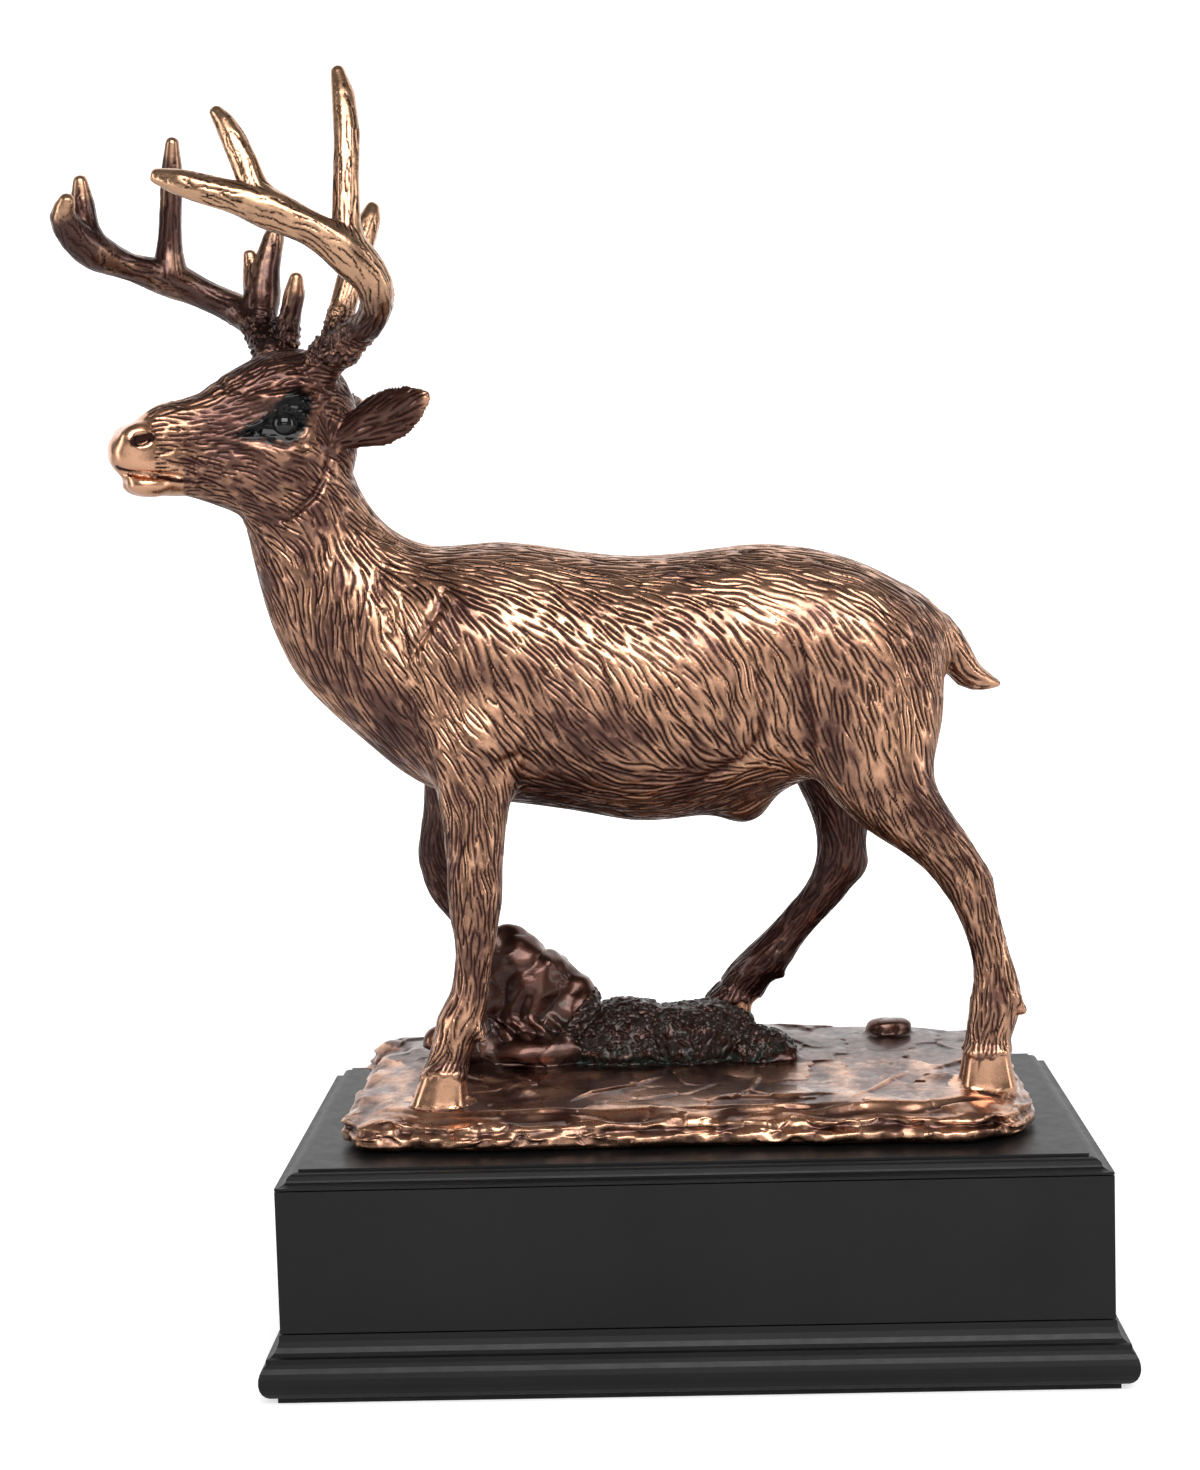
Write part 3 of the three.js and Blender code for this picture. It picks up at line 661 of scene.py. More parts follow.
@dataclass(frozen=True)
class Antlers:
    """The middle lines of the branches in the head's frame, the near antler's first."""

    near: tuple = (
        ((-1, 7, 190), (-3.6, 10.6, 195.4), (-6.4, 16, 198.4), (-8.6, 24, 201.6), (-9, 31, 206),
         (-7.6, 34, 210.8), (-3.8, 35, 215.4), (1.2, 35, 219.8), (8, 34, 223.9), (14.8, 32, 227.4),
         (22.4, 30, 230.6), (30, 27, 233), (36.4, 24, 235.2), (41.6, 21, 237)),
        ((-2, 34.4, 217), (-1, 34, 224), (-1.8, 33, 235.4), (-3.1, 31, 246.7), (-3.5, 28, 256.1),
         (-2.9, 26, 262.3)),
        ((17, 31, 228.6), (20, 29.6, 233), (21.6, 28.6, 239), (23.6, 26.4, 245.4), (26.8, 23, 252.2)),
        ((-4, 11, 198), (-7, 9.8, 206), (-10.4, 8, 214.6), (-13.6, 6.8, 223.6), (-17.4, 5.8, 232.4)),
    )
    far: tuple = (
        ((1.5, 7, 190), (4.6, 11.4, 196.4), (6.8, 18, 203.6), (11, 24, 208.6), (17.7, 28, 212.8),
         (26.2, 30, 217), (36.7, 29, 220), (45.2, 27, 223.2), (51.6, 24, 227.2), (55, 20.4, 231.6),
         (54.4, 16.6, 235.6)),
        ((46.4, 26.4, 223.4), (48.6, 26, 229), (49.3, 25, 241.4)),
        ((26.4, 30, 217.4), (26.2, 29.6, 224), (25.6, 28.8, 234), (24.8, 27, 251.8)),
        ((6.6, 17.4, 204), (5.4, 18.6, 210.6), (3.8, 19, 219), (0.2, 19, 230.6)),
        ((5.4, 18.6, 211), (6.4, 21, 217), (7.1, 22, 223)),
        ((2.6, 9.6, 197), (1.4, 7.6, 205), (-0.4, 6, 216)),
    )

    burrs: tuple = ((-5.0, 13.0, 197.5), (5.0, -12.6, 198.5))

    def branches(self) -> list[np.ndarray]:
        """Every branch's middle line on the casting."""
        both = [self.near, [[(x, -y, z) for x, y, z in branch] for branch in self.far]]
        return [np.array(from_head(branch)) for side in both for branch in side]

    def headings(self, points: np.ndarray) -> np.ndarray:
        """The direction of the nearest branch at each place.

        Args:
            points: The places.

        Returns:
            A unit heading for each place.
        """
        best = np.full(len(points), 1e9)
        found = np.zeros_like(points)
        for branch in self.branches():
            for a, b in zip(branch, branch[1:]):
                along = b - a
                share = np.clip((points - a) @ along / (along @ along), 0, 1)
                away = np.linalg.norm(points - a - share[:, None] * along, axis=1)
                closer = away < best
                best[closer] = away[closer]
                found[closer] = along / np.linalg.norm(along)
        return found

    def web(self, form: Surface) -> None:
        """Fills the corners where a tine leaves its beam and makes the tips blunt.

        Args:
            form: The surface, which is moved.
        """
        gap = nearest_gap(form.points, [branch[0] for branch in self.branches()])
        share = np.exp(-((gap / 6.5) ** 2)) * (form.points[:, 2] > 205)
        form.smooth(20, share, keep_volume=False)
        tip_gap = nearest_gap(form.points, self.tips())
        fuller = smoothstep(form.points[:, 2], 202, 212) * (0.3 + 0.6 * (1 - smoothstep(tip_gap, 4, 24)))
        form.points += form.normals() * (1.5 * share + fuller)[:, None]

    def pearl(self, points: np.ndarray, head: np.ndarray, normals: np.ndarray) -> None:
        """Covers the burrs at the antlers' roots with small round pearls.

        Args:
            points: The surface's points, which are moved.
            head: The same points in the head's frame.
            normals: Their normals.
        """
        away = nearest_gap(head, self.burrs)
        near = np.flatnonzero((away < 11.5) & (head[:, 2] > 192.5))
        rng = np.random.default_rng(11)
        taken: set[tuple[int, int, int]] = set()
        pearls: list[np.ndarray] = []
        for index in rng.permutation(near):
            key = tuple(int(c) for c in np.floor(points[index] / 1.9))
            if key not in taken:
                taken.add(key)
                pearls.append(points[index])
        tree = kdtree.KDTree(len(pearls))
        for number, place in enumerate(pearls):
            tree.insert(place, number)
        tree.balance()
        found = [tree.find(p) for p in points[near].tolist()]
        gap = np.array([f[2] for f in found])
        size = rng.uniform(0.35, 1.0, len(pearls))[[f[1] for f in found]]
        rise = size * np.exp(-((gap / 0.75) ** 2)) * smoothstep(-away[near], -11.5, -8)
        points[near] += normals[near] * rise[:, None]

    def tips(self) -> np.ndarray:
        """The ends of the branches."""
        return np.array([branch[-1] for branch in self.branches()])


@dataclass(frozen=True)
class Slate:
    """The broken stone of the ground and rocks."""

    seed: int = 21
    facet: float = 14.0
    rock_facet: float = 6.0
    flatness: float = 0.27
    rock_flatness: float = 0.2
    half_size: tuple[float, float] = (86, 43.2)

    def chip(self, points: np.ndarray, normals: np.ndarray, zones: np.ndarray) -> None:
        """Flattens the stone into chipped facets and splits its edge into layers.

        Args:
            points: The surface's points, which are moved.
            normals: Their normals.
            zones: Their zones.
        """
        rng = np.random.default_rng(self.seed)
        kinds = (Zone.GROUND, self.facet, self.flatness), (Zone.ROCK, self.rock_facet, self.rock_flatness)
        for zone, size, flatness in kinds:
            stone = np.flatnonzero((zones == zone) & (points[:, 2] > 1.2))
            if len(stone) == 0:
                continue
            seeds: list[int] = []
            taken: set[tuple[int, int, int]] = set()
            for index in rng.permutation(stone)[:40000]:
                key = tuple(int(c) for c in np.floor(points[index] / size))
                if key not in taken:
                    taken.add(key)
                    seeds.append(int(index))
            tree = kdtree.KDTree(len(seeds))
            for k, index in enumerate(seeds):
                tree.insert(points[index], k)
            tree.balance()
            planes = normals[seeds] + rng.normal(scale=0.12, size=(len(seeds), 3))
            planes /= np.linalg.norm(planes, axis=1, keepdims=True)
            warped = points[stone] + 0.9 * np.stack([waves(points[stone], 6, 30 + k) for k in range(3)], 1)
            nearest = np.array([tree.find(p)[1] for p in warped.tolist()])
            off = ((points[stone] - points[seeds][nearest]) * planes[nearest]).sum(1)
            points[stone] -= planes[nearest] * (flatness * np.clip(off, -1.2, 1.2))[:, None]
        rock = np.flatnonzero(zones == Zone.ROCK)
        lumps = 1.0 * waves(points[rock], 19, 50) + 0.22 * waves(points[rock], 6, 51)
        points[rock] += normals[rock] * lumps[:, None]
        self.break_rim(points, normals, zones)

    def break_rim(self, points: np.ndarray, normals: np.ndarray, zones: np.ndarray) -> None:
        """Slopes the ground's edge back unevenly and splits it into flakes.

        Args:
            points: The surface's points, which are moved.
            normals: Their normals.
            zones: Their zones.
        """
        ground = np.flatnonzero((zones == Zone.GROUND) & (points[:, 2] > 0.4))
        x, y, z = points[ground].T
        across = np.stack([x + 0.9, y], 1) / self.half_size
        rimness = (np.abs(across) ** 8).sum(1) ** 0.125
        outward = np.sign(across) * np.abs(across) ** 7 / self.half_size
        outward /= np.maximum(np.linalg.norm(outward, axis=1, keepdims=True), 1e-9)
        flattened = points[ground] * (1, 1, 0.25)
        lean = smoothstep(z, 2.5, 9.0) * np.clip(2.0 + 2.0 * waves(flattened, 24, 43), 0, 5)
        points[ground, :2] -= outward * (lean * smoothstep(rimness, 0.76, 0.99))[:, None]
        worn = np.clip(0.6 + 0.55 * waves(flattened, 20, 45), 0.1, 1.2)
        points[ground, 2] -= np.clip(z - 6, 0, 2.5) * worn * smoothstep(rimness, 0.84, 1.0)
        rim = ground[(np.abs(normals[ground, 2]) < 0.8) & (rimness > 0.8) & (z < 10.5)]
        flattened = points[rim] * (1, 1, 0.3)
        level = points[rim, 2] + 2.2 * waves(flattened, 34, 40) + 0.8 * waves(flattened, 11, 41)
        ledge = level / 4.2 - np.floor(level / 4.2)
        split = 1.0 * (smoothstep(ledge, 0.0, 0.16) - smoothstep(ledge, 0.35, 1.0)) - 0.4
        split *= np.clip(0.55 + 0.8 * waves(flattened, 15, 42), 0.05, 1.5)
        split += 0.35 * waves(points[rim], 6, 44)
        points[rim] += normals[rim] * (1, 1, 0) * split[:, None]


MUSCLES: tuple[Swell, ...] = (
    Swell((-50, -24, 123), (12, 13, 14), 1.5, mirrored=True),
    Swell((-45, -26, 100), (8, 8, 6.5), 2.0, mirrored=True),
    Swell((50, -20, 112), (14, 14, 22), 1.5, mirrored=True),
    Swell((27, -24, 103), (6.5, 9, 14), -1.9, mirrored=True),
    Swell((10, -24, 100), (12, 10, 10), 0.9, mirrored=True),
    Swell((16, -2, 79), (6.5, 6, 6), 3.0),
    Swell((78.5, -20, 63), (4, 7, 6), 1.6),
    Swell((48, 21, 58), (4, 6, 5), 2.0),
    Swell((23.5, 22, 32), (4.5, 6, 4.5), 1.2),
    Swell((-52, -24, 61), (9, 9, 12), 1.2),
    Swell((-71, -22, 124), (5, 9, 16), -0.9, mirrored=True),
)

FACE: tuple[Swell, ...] = (
    Swell((9, 11.5, 163.5), (9.5, 5, 8.5), 1.1, on_head=True, mirrored=True),
    Swell((12, 11.5, 178.6), (7, 4, 4.6), -0.9, on_head=True, mirrored=True),
    Swell((27, 8, 173.5), (8, 4, 5), -0.7, on_head=True, mirrored=True),
    Swell((7, 0, 196), (14, 12, 8), 1.3, on_head=True),
    Swell((40, 3, 163), (6, 4, 3), 0.5, on_head=True, mirrored=True),
    Swell((51, 0, 172), (5, 9, 5), 0.6, on_head=True),
    Swell((47, 0, 182), (6, 6, 4), -1.0, on_head=True),
    Swell((39, 0, 181), (5, 7, 5), 1.0, on_head=True),
    Swell((34, 0, 183.5), (8, 6, 5), 1.3, on_head=True),
    Swell((22, 0, 188.5), (7, 7, 5), 1.4, on_head=True),
)

BODY_LINES: tuple[Crease, ...] = (
    Crease(((-72.9, -13.4, 146), (-73.3, -19.4, 137), (-71.6, -22.3, 127), (-68.5, -24, 117.7)), 0.9, 1.4,
           mirrored=True),
    Crease(((-57.4, -19.6, 137.4), (-59.3, -22.8, 131.2), (-63.6, -24.2, 124.5), (-68.5, -24, 117.7)), 1.1,
           1.3, mirrored=True),
    Crease(((-68.5, -24, 119), (-67, -22.1, 104.6), (-62.1, -22, 94.8), (-60.8, -22, 84.6)), 1.1, 1.8,
           mirrored=True),
    Crease(((-38.7, -25.5, 106), (-38, -22.3, 94), (-41, -15, 84)), 1.5, 1.8, mirrored=True),
    Crease(((-53, -26, 97), (-46, -26, 93.5), (-39, -23.5, 96)), 0.9, 1.3, mirrored=True),
    Crease(((17, -26.5, 119), (22.1, -26.2, 107.6), (20.7, -24.5, 98.9), (15.7, -22.9, 92.6),
            (9.5, -22.8, 89.8), (0, -20, 85)), 1.2, 1.6, mirrored=True),
    Crease(((29, -24.5, 120), (31, -25.3, 109.8), (31.4, -22, 97), (32.5, -17, 87.7)), 1.2, 1.8,
           mirrored=True),
    Crease(((-38.1, -16.3, 85.7), (-20.9, -12, 80), (-0.7, -13.6, 78.8)), 0.6, 1.5, mirrored=True),
    Crease(((74.5, -25.5, 58), (76.5, -26, 42), (77.5, -26, 31)), 0.6, 1.2),
    Crease(((-49.5, -29.5, 56), (-50.5, -30.5, 42), (-53, -31.5, 32)), 0.6, 1.2),
)

FACE_LINES: tuple[Crease, ...] = (
    Crease(((18, 5.5, 155.4), (12.2, 9, 154.4), (7.3, 11, 156.6), (3.1, 12.1, 160.3), (0, 12.2, 164.9),
            (-1.8, 12, 169.3), (-1.2, 12.2, 172.5)), 1.1, 0.9, True, True),
    Crease(((18.5, 7.5, 185.4), (12.5, 10.8, 184.8), (6.2, 11.6, 185.2), (1.6, 12, 181.5)), -1.1, 1.7,
           True, True),
    Crease(((17.5, 10.4, 176.9), (13.8, 12, 180.8), (9.5, 12.7, 182.5), (5.2, 12.9, 181.2),
            (3.0, 12.6, 177.8)), -0.6, 0.9, True, True),
    Crease(((17.5, 10.4, 176.9), (13.2, 12.1, 175.2), (9, 12.9, 174), (5, 12.9, 174.9), (3.0, 12.6, 177.8)),
           -0.5, 0.9, True, True),
    Crease(((20, 9.8, 176.2), (17.4, 10.5, 176.7), (15, 11, 177)), 0.7, 0.7, True, True),
    Crease(((22, 9.5, 174.6), (14, 11.8, 172), (5, 12.9, 171.6), (0, 12.5, 173)), -0.5, 1.5, True, True),
    Crease(((21, -8, 185.5), (23, 0, 189.6), (21, 8, 185.5)), 0.6, 1.1, True),
    Crease(((46.2, 7, 174.9), (44, 7.4, 175), (41.8, 7.6, 175.9)), 1.5, 1.0, True, True),
    Crease(((50, 2.5, 168.9), (45.2, 4.4, 167.4), (42.1, 5.4, 166.9), (38.7, 6.3, 166.5), (35.5, 6.6, 165.9),
            (31.5, 6.6, 164.6)), 1.7, 0.8, True, True),
    Crease(((33.8, 7, 168), (30.6, 6.6, 165.4), (32, 5.4, 162.4), (36.6, 4, 162.4)), -0.6, 0.8, True, True),
    Crease(((-8, 15.5, 176), (-15, 19.5, 178.6), (-20.5, 24.4, 183)), 0.8, 1.5, True, True),
    Crease(((-8, 15.5, 174.4), (-15, 19.5, 175.8), (-21, 24.4, 181)), 0.4, 0.6, True, True),
    Crease(((-9, 15.5, 178.4), (-14, 18.5, 181.4), (-20, 24, 185)), 0.4, 0.6, True, True),
)

STONE_LINES: tuple[Crease, ...] = (
    Crease(((-30.6, -29.5, 9), (-24.8, -22.1, 9.3), (-14.1, -17.1, 9.6), (1.6, -0.6, 12.2)), -0.9, 0.6),
    Crease(((18.1, -7.9, 10.2), (16, -18, 9.6), (14.2, -27.5, 9.3)), -0.7, 0.8),
    Crease(((40, -31.4, 9.2), (47.7, -20.5, 9.2), (55.9, -8.4, 10)), -0.9, 0.8),
    Crease(((6, -27, 9.2), (24, -30, 9.2), (38, -27, 9.2)), -0.7, 0.8),
    Crease(((-14, -30, 9.2), (0, -24, 9.2), (8, -14, 9.6)), 0.6, 0.9),
    Crease(((42.2, -43.2, 3.4), (48.6, -41.5, 6.8), (60.7, -37, 8.7), (77.8, -34, 8.8)), 1.2, 1.2),
    Crease(((-78, -31, 8.7), (-66, -37.5, 8.2), (-53.8, -38.6, 7.8), (-39, -37.5, 8.2), (-20, -39.5, 8)),
           0.9, 1.1),
    Crease(((-4, -38, 8.6), (10, -36.5, 8.8), (26, -38, 8.6), (40, -36, 8.8)), 0.9, 1.1),
    *(Crease(((x - 3.5, 6.0, 23.2), (x, 4.0, 20.6), (x + 3.2, 2.2, 17.4)), -1.3, 1.1, laid=True)
      for x in (-49 + 5.3 * k for k in range(4))),
)

STONE_LUMPS: tuple[Swell, ...] = (
    Swell((-52, 1, 11), (4, 4, 4), 1.6),
    Swell((-48, -8, 10), (4, 4, 4), 1.4),
    Swell((-44, -15, 10), (3.5, 3.5, 4), 1.5),
    Swell((-41, -21, 9.5), (3, 3, 4), 1.2),
    Swell((64, -14, 9.5), (4, 3, 4), 1.2),
    Swell((-56, 8, 26), (6, 10, 11), 3.6),
    Swell((-39, 10, 40), (8, 7, 7), 3.4),
)


# Patches of painted shade in the hollows and painted highlights where the swells catch the light, on both
# sides of the buck.
PAINTED_SHADE_AND_HIGHLIGHTS: tuple[tuple[float, ...], ...] = (
    # across, up, half width, half height, and how much darker than the fur around, as painted shade where
    # positive and painted highlight where negative
    (-75, 91, 10, 12, 0.7),
    (-29, 91, 14, 12, 0.7),
    (-70, 104, 6, 9, 0.7),
    (-50, 114, 9, 4, 0.7),
    (-57, 130, 4, 9, 0.6),
    (-18, 101, 11, 5, 0.5),
    (-103, 132, 6, 16, 0.18),
    (-57, 106, 7, 7, -0.45),
    (-44, 93, 5, 4, -0.25),
    (-3, 113, 15, 7, -0.25),
    (-81, 139, 6, 10, -0.22),
    (36, 104, 8, 14, 0.6),
    (54, 100, 9, 16, -0.2),
    (10, 132, 16, 5, -0.18),
    (52, 84, 9, 8, 0.2),
)


@dataclass
class Casting:
    """The buck, rocks and ground, carved and parted into pieces that each stay light."""

    anatomy: Anatomy = field(default_factory=Anatomy)
    antlers: Antlers = field(default_factory=Antlers)
    slate: Slate = field(default_factory=Slate)
    voxel: float = 0.42
    quick_voxel: float = 0.8
    base_voxel: float = 1.3
    triangles: int = 880_000
    quick_triangles: int = 200_000
    rocks_reach: float = 9.0
    front_cut: float = -30.0
    rear_cut: float = 24.0

    def source(self) -> bpy.types.Mesh:
        """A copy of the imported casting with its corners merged.

        Returns:
            The copy.
        """
        work = bmesh.new()
        work.from_mesh(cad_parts["deer_on_rocky_ground"].data)
        bmesh.ops.remove_doubles(work, verts=work.verts, dist=1e-6)
        mesh = bpy.data.meshes.new("casting_form")
        work.to_mesh(mesh)
        work.free()
        return mesh

    def base(self) -> Surface:
        """The smooth form without detail, which the strokes are laid on.

        Returns:
            The smooth form.
        """
        mesh = with_modifier(self.source(), "REMESH", mode="VOXEL", voxel_size=self.base_voxel * MM)
        form = Surface(mesh)
        zones = self.anatomy.zones(form.points)
        kinds = [zones == Zone.HEAD, zones == Zone.LEG, zones >= Zone.MUZZLE]
        share = np.select(kinds, [0.35, 0.6, 0.06], 1.0)
        on_tail = (zones == Zone.BARREL) & (path_gap(form.points, self.anatomy.tail) < 2)
        form.smooth(70, np.where(on_tail, 0.2, share), keep_volume=False)
        return form

    def sculpt(self) -> tuple[Surface, Strokes]:
        """Makes the carved surface.

        Returns:
            The surface and the strokes that were cut into it.
        """
        base = self.base()
        base_zones = self.anatomy.zones(base.points)
        coat = Coat(self.anatomy)
        flow = coat.flow(base.points, base_zones, self.antlers)
        strokes = Strokes(*coat.carve(base, base_zones, flow))
        voxel = self.voxel
        form = Surface(with_modifier(self.source(), "REMESH", mode="VOXEL", voxel_size=voxel * MM))
        zones = self.anatomy.zones(form.points)
        log.info("form of %d points", len(form.points))
        self.follow(form, base, zones)
        kept = {Zone.ANTLER: 0.6, Zone.EAR: 0.4, Zone.HOOF: 0.4, Zone.GROUND: 0.3, Zone.MUZZLE: 0.6}
        share = np.select([zones == zone for zone in kept], list(kept.values()), 1.0)
        form.smooth(30, share)
        claws = nearest_gap(form.points, self.anatomy.dewclaws)
        form.smooth(30, np.exp(-((claws / 4.2) ** 2)), keep_volume=False)
        self.shoe(form, zones)
        self.antlers.web(form)
        form.smooth(26, 0.8 * (zones == Zone.MUZZLE), keep_volume=False)
        form.smooth(40, 0.9 * (zones == Zone.ROCK), keep_volume=False)
        form.smooth(30, 0.9 * ((zones == Zone.GROUND) & (form.points[:, 2] > 10.6)), keep_volume=False)
        self.widen_rocks(form, zones)
        normals = form.normals()
        head = to_head(form.points)
        for feature in (*MUSCLES, *FACE, *BODY_LINES, *FACE_LINES, *STONE_LINES, *STONE_LUMPS):
            feature.apply(form.points, head, normals)
        self.antlers.pearl(form.points, head, normals)
        self.slate.chip(form.points, normals, zones)
        form.smooth(2, np.where(zones >= Zone.GROUND, 0.7, 0.5))
        normals = form.normals()
        furred = np.isin(zones, [int(zone) for zone in STROKES])
        depth, _, _ = strokes.cut(form.points, furred)
        depth[zones == Zone.GRASS] *= -1
        form.points -= normals * depth[:, None]
        return form, strokes

    def widen_rocks(self, form: Surface, zones: np.ndarray) -> None:
        """Draws the left side of the rock pile out behind the near foreleg.

        Args:
            form: The surface, which is moved.
            zones: Its zones.
        """
        x, y, z = form.points.T
        widened = (zones >= Zone.GROUND) & (y > -5) & (x > -66)
        share = widened * smoothstep(-x, 37, 47) * smoothstep(-y, -17, -9) * smoothstep(z, 10.5, 15)
        form.points[:, 0] -= self.rocks_reach * share

    def shoe(self, form: Surface, zones: np.ndarray) -> None:
        """Rounds the hooves and lets the hair of the pasterns hang over them.

        Args:
            form: The surface, which is moved.
            zones: Its zones.
        """
        hoof = zones == Zone.HOOF
        form.smooth(30, 0.9 * hoof, keep_volume=False)
        x, y, z = form.points.T
        lip = np.zeros(len(z))
        for hoof_x, hoof_y, top in self.anatomy.hooves:
            near = (np.hypot(x - hoof_x, y - hoof_y) < 12) & (zones == Zone.LEG)
            lip[near] = 0.55 * np.exp(-(((z[near] - top - 0.6) / 1.6) ** 2))
        form.points += form.normals() * (lip + 0.25 * hoof)[:, None]

    def follow(self, form: Surface, base: Surface, zones: np.ndarray) -> None:
        """Lays the fine surface on the smooth form, apart from the head, feet and ground.

        Args:
            form: The fine surface, which is moved.
            base: The smooth form.
            zones: The zones of the fine surface.
        """
        z = form.points[:, 2]
        soft = smoothstep(z, 30, 44) * np.isin(zones, [Zone.BARREL, Zone.NECK, Zone.LEG, Zone.HEAD])
        soft *= 1 - 0.75 * smoothstep(z, 152, 166) * (form.points[:, 0] < -60)
        soft *= smoothstep(path_gap(form.points, self.anatomy.tail), -1, 4)
        for claw in self.anatomy.dewclaws:
            if claw[1] > 0:
                away = np.linalg.norm(form.points - claw, axis=1)
                soft = np.maximum(soft, 0.9 * np.exp(-((away / 5) ** 4)) * (zones == Zone.LEG))
        chosen = np.flatnonzero(soft > 0.01)
        find = base.tree().find_nearest
        target = np.array([find(p)[0] for p in form.points[chosen].tolist()])
        form.points[chosen] += soft[chosen, None] * (target - form.points[chosen])

    def build(self) -> list[bpy.types.Object]:
        """Carves the casting and parts it.

        Returns:
            The pieces, with their attributes.
        """
        form, strokes = self.sculpt()
        whole = form.to_mesh("casting")
        faces = 2 * len(form.quads)
        goal = self.triangles
        if faces > goal:
            whole = with_modifier(whole, "DECIMATE", ratio=goal / faces)
        log.info("light mesh of %d faces", len(whole.polygons))
        return self.part(whole, strokes)

    def part(self, whole: bpy.types.Mesh, strokes: Strokes) -> list[bpy.types.Object]:
        """Cuts the light mesh into pieces and marks each point with its finish.

        Args:
            whole: The light mesh of the whole casting.
            strokes: The strokes in it.

        Returns:
            The pieces.
        """
        if len(whole.loops) != 3 * len(whole.polygons):
            whole = with_modifier(whole, "TRIANGULATE")
        flat = np.empty(len(whole.vertices) * 3, np.float32)
        whole.vertices.foreach_get("co", flat)
        metres = flat.reshape(-1, 3).copy()
        points = metres.astype(np.float64) / MM - (0, 0, CASTING_Z)
        whole.vertices.foreach_get("normal", flat)
        normals = flat.reshape(-1, 3).copy()
        corners = np.empty(len(whole.loops), np.int32)
        whole.loops.foreach_get("vertex_index", corners)
        triangles = corners.reshape(-1, 3)
        zones = self.anatomy.zones(points)
        marks = self.marks(points, self.relief(points, normals, triangles), zones, strokes)
        log.info("finish marked")
        middle = points[triangles].mean(1)
        face_zone = zones[triangles[:, 0]]
        names = ["forequarters", "barrel", "hindquarters", "antlers", "rocky_ground"]
        which = np.where(middle[:, 0] < self.front_cut, 0, np.where(middle[:, 0] < self.rear_cut, 1, 2))
        which[(face_zone == Zone.ANTLER) & (middle[:, 2] > 190)] = 3
        which[(face_zone >= Zone.GROUND) & (middle[:, 2] < 52)] = 4
        pieces = []
        for number, name in enumerate(names):
            mine = triangles[which == number]
            used, local = np.unique(mine, return_inverse=True)
            mesh = bpy.data.meshes.new(name)
            mesh.vertices.add(len(used))
            mesh.vertices.foreach_set("co", metres[used].ravel())
            mesh.loops.add(mine.size)
            mesh.loops.foreach_set("vertex_index", local.astype(np.int32).ravel())
            mesh.polygons.add(len(mine))
            mesh.polygons.foreach_set("loop_start", np.arange(0, mine.size, 3, dtype=np.int32))
            mesh.update(calc_edges=True)
            for mark, values in marks.items():
                layer = mesh.attributes.new(mark, "FLOAT", "POINT")
                layer.data.foreach_set("value", values[used].astype(np.float32))
            self.close(mesh)
            mesh.polygons.foreach_set("use_smooth", np.ones(len(mesh.polygons), bool))
            mesh.normals_split_custom_set_from_vertices(normals[used].tolist())
            obj = bpy.data.objects.new(name, mesh)
            bpy.context.scene.collection.objects.link(obj)
            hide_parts("deer_on_rocky_ground")
            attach(obj, "root")
            pieces.append(obj)
            log.info("%s: %d triangles", name, len(mesh.polygons))
        return pieces

    def close(self, mesh: bpy.types.Mesh) -> None:
        """Closes a piece where it was parted from the next.

        Args:
            mesh: The piece's mesh, which is changed.
        """
        work = bmesh.new()
        work.from_mesh(mesh)
        rims = [edge for edge in work.edges if edge.is_boundary]
        made = bmesh.ops.holes_fill(work, edges=rims, sides=0)
        bmesh.ops.triangulate(work, faces=made["faces"])
        work.to_mesh(mesh)
        work.free()

    def relief(self, points: np.ndarray, normals: np.ndarray, triangles: np.ndarray) -> np.ndarray:
        """How far each point stands proud of its surroundings, in millimetres, or below them.

        Args:
            points: The points.
            normals: Their normals.
            triangles: The triangles between them.

        Returns:
            One value for each point.
        """
        starts = triangles.ravel()
        ends = np.roll(triangles, -1, axis=1).ravel()
        count = np.bincount(starts, minlength=len(points))
        soft = points.copy()
        for _ in range(10):
            for axis in range(3):
                total = np.bincount(starts, soft[ends, axis], len(points))
                soft[:, axis] = np.where(count > 0, total / np.maximum(count, 1), soft[:, axis])
        return ((points - soft) * normals).sum(1)

    def marks(self, points: np.ndarray, relief: np.ndarray, zones: np.ndarray,
              strokes: Strokes) -> dict[str, np.ndarray]:
        """What the finishes read at each point.

        Args:
            points: The points.
            relief: How far each stands proud.
            zones: Their zones.
            strokes: The strokes in the surface.

        Returns:
            The groove, tarnish, green and black masks by name, the tarnish mask carrying painted shade and
            painted highlights too.
        """
        furred = np.isin(zones, [int(zone) for zone in STROKES])
        _, groove, tone = strokes.cut(points, furred)
        head = to_head(points)
        z = points[:, 2]
        # The fur's tarnish includes painted shade and painted highlights.
        tarnish_and_shade = self.fur_tarnish_and_shade(points, head) + 0.34 * tone
        tarnish_and_shade[np.isin(zones, [Zone.HOOF, Zone.MUZZLE])] = -0.25
        ear = zones == Zone.EAR
